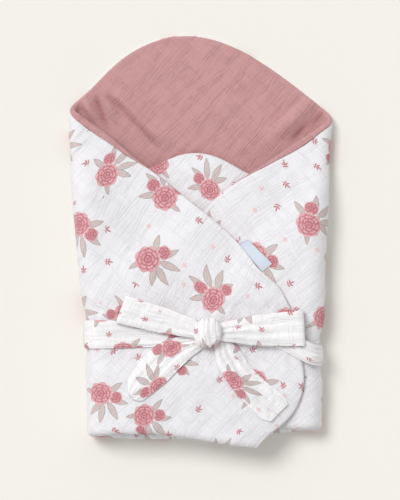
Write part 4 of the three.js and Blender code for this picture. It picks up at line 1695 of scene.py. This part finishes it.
@dataclass(frozen=True)
class FlowerPrint:
    """A nursery print of ruffled flowers with pale leaves, small sprigs and dots.

    Attributes:
        pitch_mm: Distance between the large motifs.
        loose: How far they stray from even places, from 0 to 1.
        sprig_pitch_mm: Distance between the small sprigs.
        sprig_loose: How far they stray.
        petal: Colour of the ruffled petals.
        petal_light: Colour of their lit folds.
        petal_deep: Colour between them.
        leaf: Colour of the long leaves.
        leaf_edge: Colour of their edges.
        leaf_heart: Colour along their middles.
        sprig: Colour of the small sprigs.
        dot: Colour of the pale marks.
    """

    pitch_mm: float = 92.0
    loose: float = 0.42
    sprig_pitch_mm: float = 37.0
    sprig_loose: float = 0.75
    petal: str = "#d4939a"
    petal_light: str = "#ecbdc0"
    petal_deep: str = "#bb6f79"
    leaf: str = "#cdc6c2"
    leaf_edge: str = "#aaa19e"
    leaf_heart: str = "#dfc9c8"
    sprig: str = "#c67880"
    dot: str = "#f3cfd0"

    @staticmethod
    def spots(ink: NodeInk, place: object, pitch_mm: float, loose: float, turn: float) -> tuple:
        """Scatter motifs over the cloth.

        Args:
            ink: Where the nodes go.
            place: The cloth's own place, in metres.
            pitch_mm: Distance between motifs.
            loose: How far they stray from even places.
            turn: Turn of the even places, in degrees.

        Returns:
            The place inside the nearest motif in millimetres, x and y, and three chances from 0 to 1.
        """
        even = ink.scaled(place, pitch_mm * MM, pitch_mm * MM, turn)
        inputs = {"Vector": even, "Scale": 1.0, "Randomness": loose}
        cells = ink.add("ShaderNodeTexVoronoi", inputs, voronoi_dimensions="2D")
        away = ink.times(ink.vector("SUBTRACT", even, cells.outputs["Position"]), pitch_mm)
        chances = ink.add("ShaderNodeSeparateColor", {"Color": cells.outputs["Color"]}).outputs
        turned = ink.turned(away, ink.sum("MULTIPLY", chances[0], 2 * math.pi))
        parts = ink.add("ShaderNodeSeparateXYZ", {"Vector": turned}).outputs
        return parts[0], parts[1], chances

    def lay_leaf(self, ink: NodeInk, under: object, leaf: Leaf, spot: tuple, wet: object) -> object:
        """Lay a pale leaf with a soft heart and a thin vein over a colour.

        Args:
            ink: Where the nodes go.
            under: The colour beneath.
            leaf: The leaf.
            spot: Place across and up the motif in millimetres.
            wet: How fully the ink took in the cloth.

        Returns:
            The new colour.
        """
        inside, across = leaf.shape(ink, *spot)
        beside = ink.sum("ABSOLUTE", across)
        heart = ink.fade(beside, 0.1 * leaf.width, 0.7 * leaf.width)
        body = ink.paint(linear(self.leaf_heart), linear(self.leaf), heart)
        edge = ink.sum("MULTIPLY", ink.fade(inside, -0.1, 1.3), wet, clamp=True)
        vein = ink.fade(beside, 0.1, 0.55, 0.45, 1.0)
        body = ink.paint(linear(self.leaf_edge), body, ink.sum("MULTIPLY", edge, vein))
        return ink.paint(under, body, ink.fade(inside, -0.35, 0.35))

    def lay_flower(self, ink: NodeInk, under: object, flower: Rosette, spot: tuple, wet: object) -> object:
        """Lay a ruffled flower over a colour.

        Args:
            ink: Where the nodes go.
            under: The colour beneath.
            flower: The flower.
            spot: Place across and up the motif in millimetres.
            wet: How fully the ink took in the cloth.

        Returns:
            The new colour.
        """
        inside, light = flower.shape(ink, *spot)
        shaded = ink.sum("MULTIPLY", light, wet, clamp=True)
        body = ink.paint(linear(self.petal_deep), linear(self.petal), ink.fade(shaded, 0.0, 0.45))
        body = ink.paint(body, linear(self.petal_light), ink.fade(shaded, 0.5, 0.95))
        return ink.paint(under, body, ink.fade(inside, -0.35, 0.35))

    def bouquet(self, ink: NodeInk, place: object, cloth: object) -> tuple[object, object]:
        """Lay the large motifs over the cloth, and return the colour and the distance from them."""
        x, y, chances = self.spots(ink, place, self.pitch_mm, self.loose, 17.0)
        wet = ink.fade(ink.noise(place, 1 / 0.004, 3.0, 0.6), 0.25, 0.75, 0.82, 1.10)
        shown = cloth
        for leaf in BOUQUET_LEAVES:
            shown = self.lay_leaf(ink, shown, leaf, (x, y), wet)
        for flower in (BESIDE_FLOWER, MIDDLE_FLOWER):
            shown = self.lay_flower(ink, shown, flower, (x, y), wet)
        fuller = self.lay_flower(ink, shown, EXTRA_FLOWER, (x, y), wet)
        return ink.paint(shown, fuller, ink.fade(chances[1], 0.49, 0.51)), ink.length(x, y)

    def sprigs(self, ink: NodeInk, place: object, under: object, clear: object) -> object:
        """Lay small sprigs and pale marks over a colour, where no large motif is.

        Args:
            ink: Where the nodes go.
            place: The cloth's own place, in metres.
            under: The colour beneath.
            clear: Distance from the nearest large motif's middle in millimetres.

        Returns:
            The new colour.
        """
        x, y, chances = self.spots(ink, place, self.sprig_pitch_mm, self.sprig_loose, 41.0)
        inside: object = -9.0
        for leaf in SPRIG_LEAVES:
            inside = ink.sum("MAXIMUM", leaf.shape(ink, x, y)[0], inside)
        away = ink.fade(clear, 31.0, 33.5)
        sprig = ink.sum("MULTIPLY", ink.fade(inside, -0.3, 0.3), ink.fade(chances[1], 0.34, 0.36))
        sprig = ink.sum("MULTIPLY", ink.sum("MULTIPLY", sprig, away), 0.92)
        shown = ink.paint(under, linear(self.sprig), sprig)
        petals = ink.sum("COSINE", ink.sum("MULTIPLY", ink.sum("ARCTAN2", y, x), 4.0))
        outline = ink.sum("MULTIPLY_ADD", petals, 0.9, 2.5)
        mark = ink.fade(ink.sum("SUBTRACT", outline, ink.length(x, y)), -0.4, 0.4)
        mark = ink.sum("MULTIPLY", mark, ink.sum("SUBTRACT", 1.0, ink.fade(chances[1], 0.30, 0.32)))
        return ink.paint(shown, linear(self.dot), ink.sum("MULTIPLY", mark, away))

    def printed(self, cloth: Muslin) -> bpy.types.Material:
        """Build the printed muslin: the print soaks into the loose cloth, so its edges stay soft.

        Args:
            cloth: The muslin on which it is printed.

        Returns:
            The material.
        """
        material, ink, place = begin_cloth(cloth.name)
        height, crinkle = cloth.heights(ink, place)
        # Painted shade in the crinkle valleys under the print.
        lit = ink.fade(crinkle, 0.0, 0.8, cloth.valley_share, 1.0)
        ground = ink.paint(linear(cloth.valley), linear(cloth.cloth), lit)
        inputs = {"Vector": place, "Scale": 1 / 0.0016, "Detail": 1.0}
        soaked = ink.add("ShaderNodeTexNoise", inputs, noise_dimensions="2D").outputs[1]
        strayed = ink.vector("SUBTRACT", soaked, (0.5, 0.5, 0.5))
        spot = ink.vector("ADD", place, ink.times(strayed, 0.6 * MM))
        shown, far = self.bouquet(ink, spot, ground)
        shown = self.sprigs(ink, spot, shown, far)
        ink.finish(height, cloth.look(shown))
        return material


@dataclass(frozen=True)
class Satin:
    """Closely woven polyester satin: to the eye smooth and a little shiny, with a faint cross weave.

    Attributes:
        name: Name of the material.
        cloth: Its colour.
        weave_mm: Distance between its threads, wider than the real one so that it shows.
    """

    name: str
    cloth: str
    weave_mm: float = 0.7

    def plain(self) -> bpy.types.Material:
        """Build the satin in one colour."""
        material, ink, place = begin_cloth(self.name)
        threads = ink.noise(ink.scaled(place, self.weave_mm * MM, 0.02, 0.0), 1.0, 1.0)
        height = ink.sum("MULTIPLY", threads, 0.08 * MM)
        ink.finish(height, {"Base Color": linear(self.cloth), "Roughness": 0.5, "Sheen Weight": 0.1})
        return material


TAB_SATIN = Satin("pale_blue_woven_satin", "#cfd8e6")
# The third colour of each muslin is the painted shade of its crinkles.
PRINTED = Muslin(
    "printed_cotton_muslin",
    "#f1f0f3",
    "#d5d3db",
    crinkle_mm=5.2,
    depth_mm=0.56,
    cross=0.9,
    valley_share=0.78,
    narrow=1.6,
)
# A lighter copy of the printed muslin for the tie, with finer crinkles: the lighter colour is painted light
# that sets the raised ribbons off from the wrap.
LIGHTER_TIE_CLOTH = replace(PRINTED, name="tie_cotton_muslin_painted_lighter", cloth="#fbfafb", valley="#dddbe1", crinkle_mm=4.4)
PINK = Muslin(
    "dusty_pink_cotton_muslin",
    "#cf9e9e",
    "#9c6468",
    crinkle_mm=4.2,
    depth_mm=0.72,
    cross=0.45,
    valley_share=0.74,
)


@dataclass
class Studio:
    """The pale floor, the soft light and the camera straight above.

    Attributes:
        floor: Colour of the floor.
        sky: Strength of the sky.
        sky_colour: Its colour.
        sun: Strength of the window's light.
        sun_angle: How wide the window looks, in degrees, which softens the shadows.
        sun_way: Direction of its light.
        width_mm: Width of the frame on the floor.
        centre: Middle of the frame in millimetres.
        distance: Height of the camera in metres.
    """

    floor: str = "#f5f3ed"
    sky: float = 0.56
    sky_colour: str = "#fffefd"
    sun: float = 1.62
    sun_angle: float = 26.0
    sun_way: tuple[float, float, float] = (1.0, -0.95, -2.1)
    width_mm: float = 536.0
    centre: tuple[float, float] = (-0.1, -8.1)
    distance: float = 14.0

    def build(self) -> None:
        """Build the floor, the camera and the lights."""
        self.camera()
        self.ground()
        self.lights()

    def camera(self) -> None:
        """Look straight down with a long lens, so that the frame is as wide as the photograph's."""
        sensor, photo_width, photo_height = 36.0, 400, 500
        data = bpy.data.cameras.new("camera")
        data.lens = sensor * self.distance / (self.width_mm * MM * photo_height / photo_width)
        data.sensor_fit = "VERTICAL"
        data.sensor_height = sensor
        data.clip_end = 50.0
        camera = bpy.data.objects.new("camera", data)
        camera.location = (self.centre[0] * MM, self.centre[1] * MM, self.distance)
        bpy.context.scene.collection.objects.link(camera)
        bpy.context.scene.camera = camera

    def ground(self) -> None:
        """Lay a large floor of matt paper: to the eye an even, pale ground with no shine."""
        mesh = bpy.data.meshes.new("floor")
        far = 12.0
        mesh.from_pydata([(-far, -far, 0), (far, -far, 0), (far, far, 0), (-far, far, 0)], [], [(0, 1, 2, 3)])
        floor = bpy.data.objects.new("floor", mesh)
        bpy.context.scene.collection.objects.link(floor)
        material = bpy.data.materials.new("matt_paper")
        material.use_nodes = True
        shader = material.node_tree.nodes["Principled BSDF"]
        shader.inputs["Base Color"].default_value = linear(self.floor)
        shader.inputs["Roughness"].default_value = 0.95
        shader.inputs["Specular IOR Level"].default_value = 0.1
        mesh.materials.append(material)

    def lights(self) -> None:
        """Light softly from the upper left, with a bright sky that fills the shadows."""
        world = bpy.data.worlds.new("soft_sky")
        bpy.context.scene.world = world
        world.use_nodes = True
        sky = world.node_tree.nodes["Background"]
        sky.inputs["Color"].default_value = linear(self.sky_colour)
        sky.inputs["Strength"].default_value = self.sky
        data = bpy.data.lights.new("window", "SUN")
        data.angle = math.radians(self.sun_angle)
        data.energy = self.sun
        light = bpy.data.objects.new("window", data)
        light.rotation_euler = Vector(self.sun_way).to_track_quat("-Z", "Y").to_euler()
        bpy.context.scene.collection.objects.link(light)
        bpy.context.scene.view_settings.view_transform = "Standard"


# Creases of the lining at the head end: spots of the photograph, half width, rise, puckers and painted shade.
HEAD_CREASES = (
    Crease(
        ((99, 90), (111, 99), (120.5, 108), (130, 118.5), (140, 128), (150, 139), (165, 153)),
        3.6,
        -1.6,
        0.9,
        0.5,
    ),
    Crease(((107, 90), (119, 98), (130, 108), (141, 119), (152, 130), (168, 143)), 6.0, 4.4),
    Crease(((91, 90), (94, 101), (99, 112), (104, 124), (109, 134)), 4.0, -1.5, 0.0, 0.85),
    Crease(((79, 95), (84, 105), (90, 116), (96, 127)), 6.5, 10.5),
    Crease(((71, 104), (77, 110), (86, 118)), 3.0, -2.0, 0.0, 0.6),
    Crease(((100, 92), (106, 103), (113, 115), (119, 126)), 4.5, 6.5),
    Crease(((320, 98), (309, 107), (297, 118), (285, 128), (269, 140)), 6.0, 7.5),
    Crease(((325, 112), (315, 122), (306, 129), (294, 138), (281, 148)), 3.6, -1.6, 0.0, 0.95),
    Crease(((300, 98), (290, 107), (275, 121), (262, 132)), 7.0, -1.4, 0.0, 0.14),
    Crease(((241, 146), (247, 154), (255, 164)), 2.8, -1.4, 0.0, 0.36),
)

# The tie's free ends: rows of x, y and the x and y from the middle to an edge, from the knot out.
LEFT_TAIL = (
    (4, -126, -6, 8),
    (-4.7, -133.7, -8, 9.4),
    (-24.8, -141.4, -14.7, 12),
    (-41.1, -153.4, -11.8, 18.5),
    (-59.6, -170.6, -13.4, 18.5),
    (-74.6, -185.6, -11.8, 16.8),
    (-85.4, -197.4, -9.1, 15.1),
    (-92.5, -207.4, -6.4, 9.4),
)
RIGHT_TAIL = (
    (18, -124, 9, 7),
    (30.8, -134, 11.4, 6),
    (38.2, -152.1, 16.1, 6.7),
    (49.6, -172.9, 18.1, 6),
    (65.7, -192.3, 18.1, 9.4),
    (84.4, -209.7, 16.8, 12.1),
    (96.5, -220.4, 15.4, 14.7),
    (106.5, -228.6, 14.1, 14.1),
)

# Height of the free ends over the wrap, in even steps from the knot out.
TAIL_RISE = (3.2, 4.2, 3.6, 2.8, 2.3, 2.1, 1.9)

# Pleats of the loops and the free ends: place across, height, and half width.
LEFT_LOOP_PLEATS = (
    Pleat((0.5, 0.75), (2.2, 0.3), 0.22),
    Pleat((-0.1, 0.1), (2.6, 0.6), 0.2),
    Pleat((-0.65, -0.6), (2.0, 0.8), 0.2),
    Pleat((0.2, 0.45), (-1.8, -0.4), 0.14),
    Pleat((-0.4, -0.25), (-2.0, -0.8), 0.14),
)
RIGHT_LOOP_PLEATS = (
    Pleat((0.45, 0.7), (2.4, 0.5), 0.2),
    Pleat((0.0, 0.15), (2.0, 0.4), 0.2),
    Pleat((-0.55, -0.5), (2.4, 1.0), 0.2),
    Pleat((0.25, 0.4), (-2.0, -0.5), 0.14),
    Pleat((-0.3, -0.2), (-2.2, -0.8), 0.14),
)
LEFT_TAIL_PLEATS = (
    Pleat((0.5, 0.6), (2.0, 1.2), 0.2),
    Pleat((-0.1, 0.0), (1.8, 1.6), 0.2),
    Pleat((-0.6, -0.5), (1.4, 0.7), 0.18),
    Pleat((0.2, 0.3), (-1.6, -1.1), 0.15),
)
RIGHT_TAIL_PLEATS = (
    Pleat((0.4, 0.6), (2.0, 0.7), 0.2),
    Pleat((-0.2, -0.1), (2.0, 1.3), 0.18),
    Pleat((-0.65, -0.6), (1.4, 0.5), 0.18),
    Pleat((0.1, 0.3), (-1.6, -0.8), 0.15),
)

# Flat size of the quilted square in metres, and its area with the rounded corners taken off.
SQUARE = (0.756, 0.756)
SQUARE_AREA = 0.541


class Held(Enum):
    """How a piece of cloth is held."""

    FOLDED = "folded"
    LAID = "laid"
    GATHERED = "gathered"


@dataclass(frozen=True)
class Cut:
    """A piece of cloth as it was cut, and how it lies now.

    Attributes:
        flat: Width and length in metres.
        held: How it is held; not used.
        rests_on: What it lies on; not used.
        area: Flat area in square metres, where the cut isn't a rectangle.
    """

    flat: tuple[float, float]
    held: Held
    rests_on: tuple[str, ...]
    area: float | None = None


def weld(piece: bpy.types.Object) -> None:
    """Merge points that lie in one place, so that seams and poles are closed."""
    shape = bmesh.new()
    shape.from_mesh(piece.data)
    bmesh.ops.remove_doubles(shape, verts=shape.verts, dist=2e-6)
    shape.to_mesh(piece.data)
    shape.free()


def report(piece: bpy.types.Object, cut: Cut) -> None:
    """Log a piece's size, and its cloth as a share of the flat cut."""
    places = np.array([vertex.co for vertex in piece.data.vertices]) / MM
    low, high = places.min(axis=0).round(1), places.max(axis=0).round(1)
    cloth = sum(face.area for face in piece.data.polygons) / 2
    share = cloth / (cut.area or cut.flat[0] * cut.flat[1])
    count = len(piece.data.polygons)
    LOG.info("%s: %d faces, from %s to %s mm, cloth %.2f", piece.name, count, low, high, share)


def dress(piece: bpy.types.Object, node: str | None, finish: bpy.types.Material, cut: Cut) -> None:
    """Give a piece its finish and its body, hide the CAD node that it stands for, and log its cloth against
    its flat cut.

    Args:
        piece: The piece.
        node: The CAD node that it stands for, or None for a small piece that has none.
        finish: Its material.
        cut: Its flat cut.
    """
    weld(piece)
    piece.data.materials.append(finish)
    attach(piece, "root")
    if node:
        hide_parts(node)
    report(piece, cut)


def main() -> None:
    """Build the wrap, its tie and the studio, in order."""
    logging.basicConfig(level=logging.INFO, format="%(message)s")
    Studio().build()
    sheet = QuiltedSheet(creases=HEAD_CREASES)
    tie = Tie(sheet)
    # The tie's ribbons take the lighter copy of the printed muslin, painted light.
    printed, ribbon = FlowerPrint().printed(PRINTED), FlowerPrint().printed(LIGHTER_TIE_CLOTH)
    pink = PINK.plain()
    folded = Cut(SQUARE, Held.FOLDED, ("floor",), SQUARE_AREA)
    dress(sheet.build_outer(), "outer_panel", printed, folded)
    dress(sheet.build_lining(), "lining_panel", pink, folded)
    left_loop = tie.loop("bow_loop_left", (-104.0, -90.5), (12.5, 17.0, 19.5), (0.37, 0.93), LEFT_LOOP_PLEATS)
    right_loop = tie.loop(
        "bow_loop_right", (138.9, -115.5), (12.5, 20.5, 23.8), (-0.05, 1.0), RIGHT_LOOP_PLEATS
    )
    left_tail = tie.laid_ribbon("tie_tail_left", LEFT_TAIL, TAIL_RISE, LEFT_TAIL_PLEATS, 1.0)
    right_tail = tie.laid_ribbon("tie_tail_right", RIGHT_TAIL, TAIL_RISE, RIGHT_TAIL_PLEATS, 0.35)
    on_band = ("tie_band", "outer_cloth")
    for piece, cut in (
        (tie.band(), Cut((0.04, 0.79), Held.LAID, ("outer_cloth",))),
        (left_loop, Cut((0.05, 0.225), Held.FOLDED, on_band)),
        (right_loop, Cut((0.05, 0.26), Held.FOLDED, on_band)),
        (left_tail, Cut((0.05, 0.13), Held.LAID, ("outer_cloth",))),
        (right_tail, Cut((0.05, 0.14), Held.LAID, ("outer_cloth",))),
        (tie.knot_lump(), Cut((0.05, 0.056), Held.GATHERED, on_band)),
    ):
        dress(piece, "tie", ribbon, cut)
    tab = Cut((0.048, 0.0175), Held.LAID, ("outer_cloth",))
    dress(SideTab(tie).build(), None, TAB_SATIN.plain(), tab)
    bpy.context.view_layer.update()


if __name__ == "__main__":
    main()
